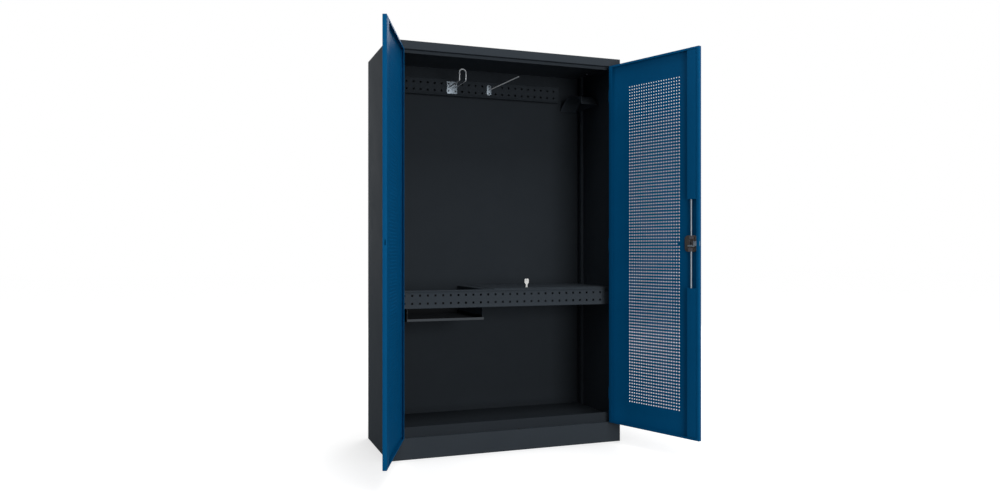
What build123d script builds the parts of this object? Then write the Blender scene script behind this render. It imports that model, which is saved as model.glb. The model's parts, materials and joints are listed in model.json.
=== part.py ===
from build123d import *
import os
from math import acos, atan2, cos, degrees, hypot, pi, radians, sin, sqrt

# Double-door sheet steel cabinet with perforated doors, a perforated rail at the top and one at
# mid height, a shelf, a tray, two hooks, a hose saddle and a rod lock. Millimetres. X runs to the
# right, Y into the depth and Z up; the origin is on the floor below the middle of the body.

# Body
WIDTH = 1200.0
DEPTH = 500.0
HEIGHT = 1950.0
SHEET = 1.5
BEND = 1.0
SHARP = 0.0
STILE_WIDTH = 50.0
STILE_RETURN = 20.0
REAR_FLANGE = 20.0
HEADER_HEIGHT = 40.0
HEADER_LIP = 14.0
TOP_REAR_FLANGE = 25.0
PLINTH_HEIGHT = 100.0
PLINTH_RETURN = 25.0
FLOOR_LEVEL = 112.0
FLOOR_LIP_HEIGHT = 47.0
FLOOR_LIP_WIDTH = 12.0
FLOOR_UPTURN = 18.0
RAIL_FOOT = 30.0
BEARER_WIDTH = 40.0
BEARER_FLANGE = 20.0
ROOF_BOLT_RADIUS = 5.0
ROOF_BOLT_HEAD = 4.0
ROOF_BOLT_INSET = 12.0
ROOF_BOLT_DEPTHS = (60.0, 355.0)

# Doors
OPEN_ANGLE = 110.5
DOOR_SHEET = 1.2
DOOR_THICKNESS = 18.0
DOOR_CLEARANCE = 2.5
DOOR_GAP = 3.0
HINGE_GAP = 3.0
HINGE_LIP = 22.0
FREE_LIP = 14.0
END_LIP = 10.0
DOOR_BEND = 2.0
HOLE_SIZE = 6.0
HOLE_PITCH = 15.0
HOLE_COLUMNS = 21
HOLE_ROWS = 105
DRAWN_EVERY = 5
CHANNEL_WIDTH = 52.0
CHANNEL_GAP = 2.0
CHANNEL_DEPTH = 17.0
CHANNEL_FOOT = 12.0
CHANNEL_END = 1.5
WINDOW_HEIGHT = 410.0

# Hinges
HINGE_COUNT = 3
HINGE_END = 150.0
LEAF_HEIGHT = 60.0
LEAF_THICKNESS = 1.2
BARREL_RADIUS = 4.0
BARREL_CLEARANCE = 0.2
HINGE_PIN_RADIUS = 2.5
RUNNING = 0.05
KNUCKLE_GAP = 0.3
LEAF_NOTCH = 0.3

# Rod lock
ROD_X = 49.0
ROD_DEPTH = 11.0
ROD_RADIUS = 4.0
ROD_PROUD = 1.3
GUIDE_CLEARANCE = 0.1
GUIDE_FLANGE = 0.8
GUIDE_BLOCK = 12.0
GUIDE_SEAT = 0.2
CASE_WIDTH = 70.0
CASE_HEIGHT = 76.0
CASE_THICKNESS = 5.0
CASE_CORNER = 17.0
CASE_OFFSET = 5.5
SLIDE_CLEARANCE = 0.3
TOOTH_MODULE = 1.0
PINION_TEETH = 16
RACK_TEETH = 8
RACK_THICKNESS = 3.0
RACK_WIDTH = 6.0
BACKLASH = 0.12
LUG_OFFSET = 21.0
LUG_HEIGHT = 16.0
LATCH_HEIGHT = 22.0
LATCH_PROUD = 0.6
SPINDLE_RADIUS = 5.0
BUSH_SIDE = 14.0
BUSH_BORE_CLEARANCE = 0.5
BUSH_LENGTH = 8.0
PLATE_WIDTH = 42.0
PLATE_HEIGHT = 118.0
PLATE_THICKNESS = 4.0
HUB_RADIUS = 15.0
HUB_LENGTH = 22.0
GRIP_LENGTH = 92.0
GRIP_WIDTH = 20.0
GRIP_THICKNESS = 10.0
CYLINDER_RADIUS = 8.0
CYLINDER_LENGTH = 16.0
PLUG_RADIUS = 5.5
KEYWAY_WIDTH = 1.6
KEYWAY_HEIGHT = 7.0

# Uprights on the side walls
UPRIGHT_WIDTH = 22.0
UPRIGHT_PROJECTION = 12.0
FRONT_UPRIGHT_DEPTH = 80.0
REAR_UPRIGHT_INSET = 50.0
SLOT_WIDTH = 6.0
SLOT_HEIGHT = 20.0
SLOT_PITCH = 150.0
SLOT_TOP = 16.5

# Perforated rails
RAIL_HEIGHT = 86.0
RAIL_HOLE = 10.0
RAIL_PITCH = 38.0
RAIL_BEAD = 5.0
RAIL_JOGGLE = 2.0
UPPER_RAIL_DROP = 110.0
UPPER_RAIL_STAND = 43.0
UPPER_RAIL_X = -27.0
UPPER_RAIL_COLUMNS = 25
UPPER_RAIL_MARGIN = 31.0
UPPER_RAIL_FLANGE = 12.0
STANDOFF_SHEET = 2.0
STANDOFF_FOOT = 20.0
STANDOFF_HEIGHT = 70.0
STANDOFF_COLUMNS = (-9, 0, 9)
MIDDLE_RAIL_Z = 740.0
MIDDLE_RAIL_DEPTH = 52.0
MIDDLE_RAIL_COLUMNS = 28
MIDDLE_RAIL_MARGIN = 27.0
MIDDLE_RAIL_FLANGE = 20.0
BRACKET_DEPTH = 48.0

# Shelf, partition and tray
SHELF_Z = 787.0
SHELF_SHEET = 1.2
SHELF_LEFT = -57.0
SHELF_GAP = 9.5
SHELF_FLANGE = 25.0
SHELF_RETURN = 12.0
SHELF_FRONT_DEPTH = 75.0
SHELF_REAR_GAP = 3.0
CLIP_WIDTH = 12.0
CLIP_LENGTH = 26.0
CLIP_HEIGHT = 24.0
PARTITION_X = -118.0
PARTITION_FLANGE = 88.0
TRAY_LEFT = -500.0
TRAY_BOTTOM = 636.0
TRAY_LIP = 12.0
TRAY_BACK_HEIGHT = 109.0
TRAY_FRONT_DEPTH = 54.0
TRAY_SIDE_FLANGE = 20.0

# Hooks on the upper rail
HOOK_PLATE = 2.0
DOUBLE_PLATE_WIDTH = 57.0
DOUBLE_PLATE_HEIGHT = 65.0
DOUBLE_HOOK_COLUMN = -3.5
WIRE_RADIUS = 2.75
WIRE_SPACING = 34.0
DOUBLE_REACH = 190.0
DOUBLE_RISE = 58.0
WIRE_BEND = 8.0
SINGLE_PLATE_WIDTH = 26.0
SINGLE_PLATE_HEIGHT = 55.0
SINGLE_HOOK_COLUMN = 2
SINGLE_STUB = 14.0
SINGLE_TIP = (103.0, -182.0, 46.0)
SCREW_HEAD_RADIUS = 4.0
SCREW_HEAD_HEIGHT = 2.4

# Hose saddle on the right wall
SADDLE_BACK_GAP = 1.0
SADDLE_CHORD = 272.0
SADDLE_RISE = 63.0
SADDLE_DROP = 193.0
SADDLE_REACH = 95.0
SADDLE_SHEET = 2.0
SADDLE_LIP = 36.0
SADDLE_TONGUE = 1.5
TONGUE_WIDTH = 4.0
TONGUE_HEIGHT = 10.0
TONGUE_HOOK = 7.0

# Key stood in a slot of the shelf
KEY_X = 143.0
KEY_DEPTH = 145.0
KEY_THICKNESS = 2.6
KEY_BOW_WIDTH = 31.0
KEY_BOW_HEIGHT = 24.0
KEY_HEIGHT = 43.0
KEY_BLADE_WIDTH = 11.0
KEY_BLADE_BELOW = 16.0
KEY_COLLAR = 3.0
KEY_HOLE_RADIUS = 2.5
KEY_SLOT_CLEARANCE = 0.4

# Places that follow from the sizes above
FRONT = -DEPTH / 2
BACK = DEPTH / 2
WALL = WIDTH / 2 - SHEET
CEILING = HEIGHT - SHEET
BACK_FACE = BACK - 2 * SHEET
OPENING_HALF = WIDTH / 2 - STILE_WIDTH
HEADER_BOTTOM = HEIGHT - HEADER_HEIGHT
FLOOR_UNDERSIDE = FLOOR_LEVEL - SHEET
LIP_FACE = FRONT + STILE_RETURN + BEND
DOOR_FREE = DOOR_GAP / 2
DOOR_EDGE = OPENING_HALF - HINGE_GAP
DOOR_BOTTOM = PLINTH_HEIGHT + DOOR_CLEARANCE
DOOR_TOP = HEADER_BOTTOM - DOOR_CLEARANCE
DOOR_MIDDLE = (DOOR_BOTTOM + DOOR_TOP) / 2
PIVOT_X = OPENING_HALF - HINGE_GAP / 2
PIVOT_Y = FRONT - BARREL_RADIUS - BARREL_CLEARANCE
HINGE_LEVELS = [DOOR_BOTTOM + HINGE_END + i * (DOOR_TOP - DOOR_BOTTOM - 2 * HINGE_END) / (HINGE_COUNT - 1)
                for i in range(HINGE_COUNT)]
FIELD_X = (DOOR_FREE + DOOR_EDGE) / 2
CHANNEL_FREE = DOOR_FREE + FREE_LIP + CHANNEL_GAP
CHANNEL_FAR = CHANNEL_FREE + CHANNEL_WIDTH
UPRIGHT_FACE = WALL - UPRIGHT_PROJECTION
REAR_UPRIGHT_DEPTH = DEPTH - REAR_UPRIGHT_INSET - UPRIGHT_WIDTH - 2 * SHEET
PITCH_RADIUS = TOOTH_MODULE * PINION_TEETH / 2
ROD_TRAVEL = PITCH_RADIUS * pi / 2
CASE_FACE = FRONT + DOOR_SHEET + CASE_THICKNESS
RACK_Y = CASE_FACE + SLIDE_CLEARANCE
LATCH_Y = RACK_Y + RACK_THICKNESS + SLIDE_CLEARANCE
PINION_END = LATCH_Y + RACK_THICKNESS
ROD_Y = FRONT + ROD_DEPTH
UPPER_RAIL_FACE = BACK_FACE - UPPER_RAIL_STAND
UPPER_RAIL_Z = HEIGHT - UPPER_RAIL_DROP
MIDDLE_RAIL_FACE = FRONT + MIDDLE_RAIL_DEPTH
MIDDLE_RAIL_HALF = (MIDDLE_RAIL_COLUMNS - 1) * RAIL_PITCH / 2 + MIDDLE_RAIL_MARGIN
SHELF_FRONT = FRONT + SHELF_FRONT_DEPTH
SHELF_SEAT = SHELF_Z - SHELF_SHEET
SHELF_BACK = BACK_FACE - SHELF_REAR_GAP
SHELF_RIGHT = UPRIGHT_FACE - SHELF_GAP
SADDLE_Z = HEIGHT - SADDLE_DROP
SADDLE_END = BACK_FACE - SADDLE_BACK_GAP
HINGE_AXIS = Axis((PIVOT_X, PIVOT_Y, 0), (0, 0, 1))

parts = {}


def block(x0, x1, y0, y1, z0, z1):
    """Box between two corners."""
    return Pos((x0 + x1) / 2, (y0 + y1) / 2, (z0 + z1) / 2) * Box(x1 - x0, y1 - y0, z1 - z0)


def round_bar(start, end, radius):
    """Cylinder between two points."""
    a, b = Vector(*start), Vector(*end)
    return extrude(Plane(origin=a, z_dir=b - a) * Circle(radius), amount=(b - a).length)


def corner_vertices(face, corners):
    return [v for v in face.vertices() if any((Vector(v.X, v.Y, 0) - c).length < 1e-3 for c in corners)]


def folded(points, thickness, bend=BEND):
    """Section of a folded sheet: its shown face follows points and the sheet lies to their left.
    A negative thickness puts the sheet to their right. Square bends get an inside radius."""
    path = [Vector(x, y, 0) for x, y in points]
    runs = [(b - a).normalized() for a, b in zip(path, path[1:])]
    lefts = [Vector(-r.Y, r.X, 0) for r in runs]
    mates = [path[0] + lefts[0] * thickness]
    for i in range(1, len(path) - 1):
        middle = (lefts[i - 1] + lefts[i]).normalized()
        mates.append(path[i] + middle * (thickness / middle.dot(lefts[i])))
    mates.append(path[-1] + lefts[-1] * thickness)
    face = make_face(Polyline(*path, *reversed(mates), close=True))
    inside, outside = [], []
    for i in range(1, len(path) - 1):
        turn = runs[i - 1].X * runs[i].Y - runs[i - 1].Y * runs[i].X
        if abs(turn) > 0.9:
            hollow, crown = (mates[i], path[i]) if turn * thickness > 0 else (path[i], mates[i])
            inside.append(hollow)
            outside.append(crown)
    if inside and bend > 0:
        face = fillet(corner_vertices(face, inside), bend)
        face = fillet(corner_vertices(face, outside), bend + abs(thickness))
    return face


def along_x(face, x0, x1):
    """Extrude a section drawn in (Y, Z) from x0 to x1."""
    return extrude(Plane(origin=(x0, 0, 0), x_dir=(0, 1, 0), z_dir=(1, 0, 0)) * face, amount=x1 - x0)


def along_y(face, y0, y1):
    """Extrude a section drawn in (X, Z) from y0 to y1."""
    return extrude(Plane(origin=(0, y1, 0), x_dir=(1, 0, 0), z_dir=(0, -1, 0)) * face, amount=y1 - y0)


def along_z(face, z0, z1):
    """Extrude a section drawn in (X, Y) from z0 to z1."""
    return extrude(Plane(origin=(0, 0, z0)) * face, amount=z1 - z0)


def swung(shape):
    """Turn a piece of the right door from its closed place to the open one."""
    return shape.rotate(HINGE_AXIS, OPEN_ANGLE)


def other_side(shape):
    return mirror(shape, about=Plane.YZ)


def group(shapes):
    return Compound(children=[s.solid() if not isinstance(s, Solid) else s for s in shapes])


# Body panels

def side_panel():
    """Right side wall with its front stile, the stile's return and the rear flange."""
    outline = folded([(OPENING_HALF, FRONT + STILE_RETURN), (OPENING_HALF, FRONT), (WIDTH / 2, FRONT),
                      (WIDTH / 2, BACK), (WIDTH / 2 - REAR_FLANGE, BACK)], SHEET)
    panel = along_z(outline, 0, HEIGHT)
    notch = FRONT + PLINTH_RETURN
    panel -= block(OPENING_HALF - 1, WALL, FRONT - 1, notch, HEADER_BOTTOM, HEIGHT + 1)
    panel -= block(OPENING_HALF - 1, WALL, FRONT - 1, notch, -1, PLINTH_HEIGHT)
    panel -= block(OPENING_HALF - 1, WALL, BACK - REAR_FLANGE, BACK + 1, CEILING, HEIGHT + 1)
    return panel


def back_panel():
    return block(-WALL + BEND, WALL - BEND, BACK_FACE, BACK - SHEET, 0, CEILING - BEND)


def top_panel():
    """Roof with the header face, the ledge above the doors, the stop lip and the rear flange."""
    outline = folded([(LIP_FACE, HEADER_BOTTOM - HEADER_LIP), (LIP_FACE, HEADER_BOTTOM), (FRONT, HEADER_BOTTOM),
                      (FRONT, HEIGHT), (BACK, HEIGHT), (BACK, HEIGHT - TOP_REAR_FLANGE)], -SHEET)
    panel = along_x(outline, -WALL, WALL)
    for side in (-1, 1):
        ends = sorted((side * (WIDTH / 2 - REAR_FLANGE - 0.5), side * WIDTH / 2))
        panel -= block(*ends, BACK - REAR_FLANGE / 2, BACK + 1, HEIGHT - TOP_REAR_FLANGE - 1, CEILING)
    return panel - bush_hole(HEADER_BOTTOM)


def bush_hole(level):
    """Square hole for a strike bush through the ledge at this level."""
    half = BUSH_SIDE / 2
    return block(ROD_X - half, ROD_X + half, ROD_Y - half, ROD_Y + half, level - 5, level + 5)


def floor_pan():
    """Floor with the hollow stop lip behind the doors and an upturn against the back."""
    lip_top = PLINTH_HEIGHT + FLOOR_LIP_HEIGHT
    lip_back = LIP_FACE + FLOOR_LIP_WIDTH
    outline = folded([(LIP_FACE, PLINTH_HEIGHT), (LIP_FACE, lip_top), (lip_back, lip_top), (lip_back, FLOOR_LEVEL),
                      (BACK_FACE - SHEET, FLOOR_LEVEL), (BACK_FACE - SHEET, FLOOR_LEVEL + FLOOR_UPTURN)], -SHEET)
    return along_x(outline, -WALL, WALL)


def plinth_front():
    ledge = FRONT + PLINTH_RETURN
    outline = folded([(ledge, 0), (FRONT, 0), (FRONT, PLINTH_HEIGHT), (ledge, PLINTH_HEIGHT)], -SHEET)
    return along_x(outline, -WALL, WALL) - bush_hole(PLINTH_HEIGHT)


def plinth_rear():
    outline = folded([(BACK_FACE - RAIL_FOOT, 0), (BACK_FACE, 0), (BACK_FACE, FLOOR_UNDERSIDE),
                      (BACK_FACE - RAIL_FOOT, FLOOR_UNDERSIDE)], SHEET, SHARP)
    return along_x(outline, -WALL, WALL)


def floor_bearer():
    """Hat channel under the floor, from plinth to plinth, which also rests on the ground."""
    half, rim = BEARER_WIDTH / 2, FLOOR_UNDERSIDE - SHEET
    outline = folded([(-half - BEARER_FLANGE, rim), (-half, rim), (-half, 0), (half, 0), (half, rim),
                      (half + BEARER_FLANGE, rim)], SHEET, SHARP)
    return along_y(outline, FRONT + PLINTH_RETURN, BACK_FACE - RAIL_FOOT)


def roof_bolts():
    heads = []
    for x in (-WALL + ROOF_BOLT_INSET, WALL - ROOF_BOLT_INSET):
        for depth in ROOF_BOLT_DEPTHS:
            centre = Plane(origin=(x, FRONT + depth, CEILING - ROOF_BOLT_HEAD))
            heads.append(extrude(centre * RegularPolygon(ROOF_BOLT_RADIUS, 6), amount=ROOF_BOLT_HEAD))
    return group(heads)


def upright_slots():
    """Levels of the slots in an upright, from the top down."""
    top = CEILING - SLOT_TOP
    count = int((top - FLOOR_LEVEL - SLOT_HEIGHT) / SLOT_PITCH) + 1
    return [top - i * SLOT_PITCH for i in range(count)]


def upright(depth):
    """Slotted channel on the right wall; depth is that of its front flange."""
    near, far = FRONT + depth, FRONT + depth + UPRIGHT_WIDTH
    outline = folded([(WALL, near), (UPRIGHT_FACE, near), (UPRIGHT_FACE, far), (WALL, far)], -SHEET, SHARP)
    channel = along_z(outline, FLOOR_LEVEL, CEILING)
    middle = (near + far) / 2
    slots = [block(UPRIGHT_FACE - 1, UPRIGHT_FACE + SHEET + 1, middle - SLOT_WIDTH / 2, middle + SLOT_WIDTH / 2,
                   z - SLOT_HEIGHT / 2, z + SLOT_HEIGHT / 2) for z in upright_slots()]
    return channel - slots


# Doors

def hole_field():
    """Square holes of the door skin, every fifth one of the full 15 mm grid each way."""
    columns = (HOLE_COLUMNS - 1) // DRAWN_EVERY + 1
    rows = (HOLE_ROWS - 1) // DRAWN_EVERY + 1
    pitch = HOLE_PITCH * DRAWN_EVERY
    grid = GridLocations(pitch, pitch, columns, rows)
    plane = Plane(origin=(FIELD_X, FRONT + 5, DOOR_MIDDLE), x_dir=(1, 0, 0), z_dir=(0, -1, 0))
    squares = Sketch() + [place * Rectangle(HOLE_SIZE, HOLE_SIZE) for place in grid]
    return extrude(plane * squares, amount=10)


def door_skin():
    """Closed right door: folded pan with a return lip all round its inner side."""
    y0, y1 = FRONT, FRONT + DOOR_THICKNESS
    pan = block(DOOR_FREE, DOOR_EDGE, y0, y1, DOOR_BOTTOM, DOOR_TOP)
    front_rim = pan.faces().sort_by(Axis.Y)[0].edges()
    corners = pan.edges().filter_by(Axis.Y)
    pan = chamfer(list(front_rim) + list(corners), DOOR_BEND / 2)
    pan -= block(DOOR_FREE + DOOR_SHEET, DOOR_EDGE - DOOR_SHEET, y0 + DOOR_SHEET, y1 - DOOR_SHEET,
                 DOOR_BOTTOM + DOOR_SHEET, DOOR_TOP - DOOR_SHEET)
    pan -= block(DOOR_FREE + FREE_LIP, DOOR_EDGE - HINGE_LIP, y1 - 2 * DOOR_SHEET, y1 + 1,
                 DOOR_BOTTOM + END_LIP, DOOR_TOP - END_LIP)
    return pan - hole_field()


def right_door_skin():
    """Door with the holes for the rods' guides, the spindle and the latch."""
    skin = door_skin()
    half = GUIDE_BLOCK / 2 + GUIDE_SEAT
    for end in (DOOR_BOTTOM, DOOR_TOP):
        skin -= block(ROD_X - half, ROD_X + half, ROD_Y - half, ROD_Y + half, end - 2, end + 2)
    skin -= round_bar((ROD_X, FRONT - 1, DOOR_MIDDLE), (ROD_X, FRONT + 3, DOOR_MIDDLE), SPINDLE_RADIUS + GUIDE_CLEARANCE)
    return skin - latch_slot(DOOR_FREE - 1, DOOR_FREE + 3)


def latch_slot(x0, x1):
    """Slot for the latch through a door's free edge."""
    side = SLIDE_CLEARANCE
    half = LATCH_HEIGHT / 2 + side
    return block(x0, x1, LATCH_Y - side, LATCH_Y + RACK_THICKNESS + side, DOOR_MIDDLE - half, DOOR_MIDDLE + half)


def channel(z0, z1):
    """Hat channel along a door's free edge, which covers the rod."""
    face, foot = FRONT + CHANNEL_DEPTH, FRONT + DOOR_SHEET
    outline = folded([(CHANNEL_FAR + CHANNEL_FOOT, foot + DOOR_SHEET), (CHANNEL_FAR, foot + DOOR_SHEET),
                      (CHANNEL_FAR, face), (CHANNEL_FREE, face), (CHANNEL_FREE, foot)], DOOR_SHEET)
    return along_z(outline, z0, z1)


def rod_channels():
    low, high = DOOR_BOTTOM + END_LIP + CHANNEL_END, DOOR_TOP - END_LIP - CHANNEL_END
    half = WINDOW_HEIGHT / 2
    return channel(DOOR_MIDDLE + half, high), channel(low, DOOR_MIDDLE - half)


def left_stiffener():
    return channel(DOOR_BOTTOM + END_LIP + CHANNEL_END, DOOR_TOP - END_LIP - CHANNEL_END)


# Hinges: lift-off pattern, the frame knuckle below and the door knuckle above

def leaf(x0, x1, knuckle_low, knuckle_high, level):
    """Leaf between x0 and x1 with a twelve-sided knuckle over one half of its height."""
    half = LEAF_HEIGHT / 2
    plate = block(x0, x1, FRONT + LEAF_NOTCH, FRONT + DOOR_THICKNESS, level - half, level + half)
    neck = block(x0, x1, PIVOT_Y, FRONT + LEAF_NOTCH, knuckle_low, knuckle_high)
    barrel = Pos(PIVOT_X, PIVOT_Y, knuckle_low) * extrude(RegularPolygon(BARREL_RADIUS, 12), knuckle_high - knuckle_low)
    return plate + neck + barrel


def frame_leaves():
    return group([leaf(OPENING_HALF - LEAF_THICKNESS, OPENING_HALF, z - LEAF_HEIGHT / 2, z - KNUCKLE_GAP / 2, z)
                  for z in HINGE_LEVELS])


def door_leaves():
    leaves = []
    for z in HINGE_LEVELS:
        bore = round_bar((PIVOT_X, PIVOT_Y, z - LEAF_HEIGHT), (PIVOT_X, PIVOT_Y, z + LEAF_HEIGHT),
                         HINGE_PIN_RADIUS + RUNNING)
        leaves.append(leaf(DOOR_EDGE, DOOR_EDGE + LEAF_THICKNESS, z + KNUCKLE_GAP / 2, z + LEAF_HEIGHT / 2, z) - bore)
    return group(leaves)


def hinge_pins():
    """Pins that stand on the frame knuckles and carry the doors."""
    return group([round_bar((PIVOT_X, PIVOT_Y, z - KNUCKLE_GAP / 2), (PIVOT_X, PIVOT_Y, z + LEAF_HEIGHT / 2 - 1),
                            HINGE_PIN_RADIUS) for z in HINGE_LEVELS])


# Rod lock

def tooth_flank(pitch, depth_out, depth_in, slim):
    """Half outline of a straight-sided rack tooth about its own centre line."""
    lean = 0.364
    half = pitch / 4 - slim
    return [(-half - depth_in * lean, -depth_in), (-half + depth_out * lean, depth_out),
            (half - depth_out * lean, depth_out), (half + depth_in * lean, -depth_in)]


def pinion():
    """Spur pinion on the spindle, tall enough to drive the rod racks and the latch rack."""
    m = TOOTH_MODULE
    root, tip = PITCH_RADIUS - 1.2 * m, PITCH_RADIUS + 0.9 * m
    blank = Circle(root)
    half_pitch_angle = 360 / PINION_TEETH / 4
    tooth = make_face(Polyline(
        *[(r * cos(radians(a)), r * sin(radians(a))) for r, a in (
            (root - 0.5, -half_pitch_angle * 1.45), (PITCH_RADIUS, -half_pitch_angle * 0.94),
            (tip, -half_pitch_angle * 0.42), (tip, half_pitch_angle * 0.42),
            (PITCH_RADIUS, half_pitch_angle * 0.94), (root - 0.5, half_pitch_angle * 1.45))], close=True))
    for i in range(PINION_TEETH):
        blank += Rot(0, 0, i * 360 / PINION_TEETH) * tooth
    blank -= Circle(SPINDLE_RADIUS)
    centred = Plane(origin=(ROD_X, PINION_END, DOOR_MIDDLE), x_dir=(1, 0, 0), z_dir=(0, -1, 0))
    return extrude(centred * blank, amount=PINION_END - RACK_Y)


def rack_outline():
    """Rack section with its pitch line on the X axis, teeth upwards, a tooth gap at the middle."""
    pitch = pi * TOOTH_MODULE
    points = [(-RACK_TEETH * pitch / 2, -RACK_WIDTH), (-RACK_TEETH * pitch / 2, -TOOTH_MODULE * 1.2)]
    for i in range(RACK_TEETH):
        centre = (i - (RACK_TEETH - 1) / 2) * pitch
        points += [(centre + x, y) for x, y in tooth_flank(pitch, 0.9 * TOOTH_MODULE, 1.2 * TOOTH_MODULE, BACKLASH)]
    points += [(RACK_TEETH * pitch / 2, -TOOTH_MODULE * 1.2), (RACK_TEETH * pitch / 2, -RACK_WIDTH)]
    return make_face(Polyline(*points, close=True))


def rod_rack(side):
    """Vertical rack beside the pinion: side -1 for the upper rod, towards the free edge, and 1 for
    the lower. At rest the teeth start beside the pinion and trail the way the rod will travel."""
    up = -side
    x_pitch = ROD_X + side * PITCH_RADIUS
    shift = -up * ROD_TRAVEL / 2
    teeth = Plane(origin=(x_pitch, RACK_Y + RACK_THICKNESS, DOOR_MIDDLE + shift), x_dir=(0, 0, side),
                  z_dir=(0, -1, 0)) * rack_outline()
    bar = extrude(teeth, amount=RACK_THICKNESS)
    x_out = x_pitch + side * RACK_WIDTH
    x_in = x_pitch + side * TOOTH_MODULE * 1.2
    z_teeth = DOOR_MIDDLE + shift + up * RACK_TEETH * pi * TOOTH_MODULE / 2
    z_lug = DOOR_MIDDLE + up * (LUG_OFFSET + LUG_HEIGHT)
    bar += block(*sorted((x_in, x_out)), RACK_Y, RACK_Y + RACK_THICKNESS, *sorted((z_teeth, z_lug)))
    lug_in = ROD_X - side * (ROD_RADIUS + 3)
    z_low = DOOR_MIDDLE + up * LUG_OFFSET
    bar += block(*sorted((lug_in, x_out)), RACK_Y, ROD_Y + ROD_RADIUS + 1.5, *sorted((z_low, z_lug)))
    bore_start = z_low + up * 4
    return bar - round_bar((ROD_X, ROD_Y, bore_start), (ROD_X, ROD_Y, z_lug + up), ROD_RADIUS)


def rod(up):
    """Round rod from its lug to just past the door's end."""
    start = DOOR_MIDDLE + up * (LUG_OFFSET + 4)
    end = DOOR_TOP + ROD_PROUD if up > 0 else DOOR_BOTTOM - ROD_PROUD
    return round_bar((ROD_X, ROD_Y, start), (ROD_X, ROD_Y, end), ROD_RADIUS)


def latch_bolt():
    """Sliding latch: a plate through the free edge and a rack below the pinion."""
    pitch_z = DOOR_MIDDLE - PITCH_RADIUS
    shift = ROD_TRAVEL / 2
    half = RACK_TEETH * pi * TOOTH_MODULE / 2
    teeth = Plane(origin=(ROD_X + shift, LATCH_Y + RACK_THICKNESS, pitch_z), x_dir=(1, 0, 0),
                  z_dir=(0, -1, 0)) * rack_outline()
    plate = extrude(teeth, amount=RACK_THICKNESS)
    shoulder = ROD_X - PITCH_RADIUS - 4
    plate += block(shoulder - 1, ROD_X + shift - half, LATCH_Y, LATCH_Y + RACK_THICKNESS,
                   pitch_z - RACK_WIDTH, pitch_z - 1.2 * TOOTH_MODULE)
    plate += block(DOOR_FREE - LATCH_PROUD, shoulder, LATCH_Y, LATCH_Y + RACK_THICKNESS,
                   DOOR_MIDDLE - LATCH_HEIGHT / 2, DOOR_MIDDLE + LATCH_HEIGHT / 2)
    plate += block(shoulder - 6, shoulder, LATCH_Y, LATCH_Y + RACK_THICKNESS, pitch_z - RACK_WIDTH, DOOR_MIDDLE)
    return plate


def lock_case():
    """Rounded lock case on the door skin, with the bore for the spindle."""
    centred = Plane(origin=(ROD_X + CASE_OFFSET, CASE_FACE, DOOR_MIDDLE), x_dir=(1, 0, 0), z_dir=(0, -1, 0))
    case = extrude(centred * RectangleRounded(CASE_WIDTH, CASE_HEIGHT, CASE_CORNER), amount=CASE_THICKNESS)
    return case - round_bar((ROD_X, FRONT, DOOR_MIDDLE), (ROD_X, FRONT + CHANNEL_DEPTH, DOOR_MIDDLE),
                            SPINDLE_RADIUS + GUIDE_CLEARANCE)


def rod_guides():
    """Four bored blocks: one in each end flange of the door and one in each channel."""
    half, bore = GUIDE_BLOCK / 2, ROD_RADIUS + GUIDE_CLEARANCE
    rim_front, rim_back = ROD_Y - half - GUIDE_FLANGE, FRONT + DOOR_THICKNESS - DOOR_SHEET
    rear = FRONT + CHANNEL_DEPTH - DOOR_SHEET
    pieces = []
    for up, end in ((1, DOOR_TOP), (-1, DOOR_BOTTOM)):
        inner = end - up * DOOR_SHEET
        body = block(ROD_X - half, ROD_X + half, ROD_Y - half, rear, *sorted((end, end - up * GUIDE_BLOCK)))
        body &= block(0, WIDTH, ROD_Y - half, ROD_Y + half, 0, HEIGHT)
        body += block(ROD_X - half - 2, ROD_X + half + 2, rim_front, rim_back, *sorted((inner, inner - up * GUIDE_FLANGE)))
        pieces.append((body, end))
    for up in (1, -1):
        edge = DOOR_MIDDLE + up * (WINDOW_HEIGHT / 2 + GUIDE_BLOCK)
        pieces.append((block(ROD_X - half, ROD_X + half, FRONT + DOOR_SHEET, rear, edge - half, edge + half), edge))
    return group([body - round_bar((ROD_X, ROD_Y, z - 2 * GUIDE_BLOCK), (ROD_X, ROD_Y, z + 2 * GUIDE_BLOCK), bore)
                  for body, z in pieces])


def strike_bush(level, up):
    """Square moulded bush, flanged below the ledge's hole, that takes the rod's end."""
    half, rim = BUSH_SIDE / 2, BUSH_SIDE / 2 + 1.5
    face = level - up * GUIDE_FLANGE
    body = block(ROD_X - half, ROD_X + half, ROD_Y - half, ROD_Y + half, *sorted((face, level + up * BUSH_LENGTH)))
    body += block(ROD_X - rim, ROD_X + rim, ROD_Y - rim, ROD_Y + rim, *sorted((face, level)))
    bore = ROD_RADIUS + BUSH_BORE_CLEARANCE
    return body - round_bar((ROD_X, ROD_Y, level - 20), (ROD_X, ROD_Y, level + 20), bore)


def handle_plate():
    """Outer rose plate of the handle, with domed ends."""
    outer = FRONT - PLATE_THICKNESS
    centred = Plane(origin=(ROD_X, FRONT, DOOR_MIDDLE - CASE_HEIGHT / 4), x_dir=(1, 0, 0), z_dir=(0, -1, 0))
    plate = extrude(centred * RectangleRounded(PLATE_WIDTH, PLATE_HEIGHT, PLATE_WIDTH / 2 - 1), amount=PLATE_THICKNESS)
    return plate - round_bar((ROD_X, outer - 1, DOOR_MIDDLE), (ROD_X, FRONT + 1, DOOR_MIDDLE),
                             SPINDLE_RADIUS + GUIDE_CLEARANCE)


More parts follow.
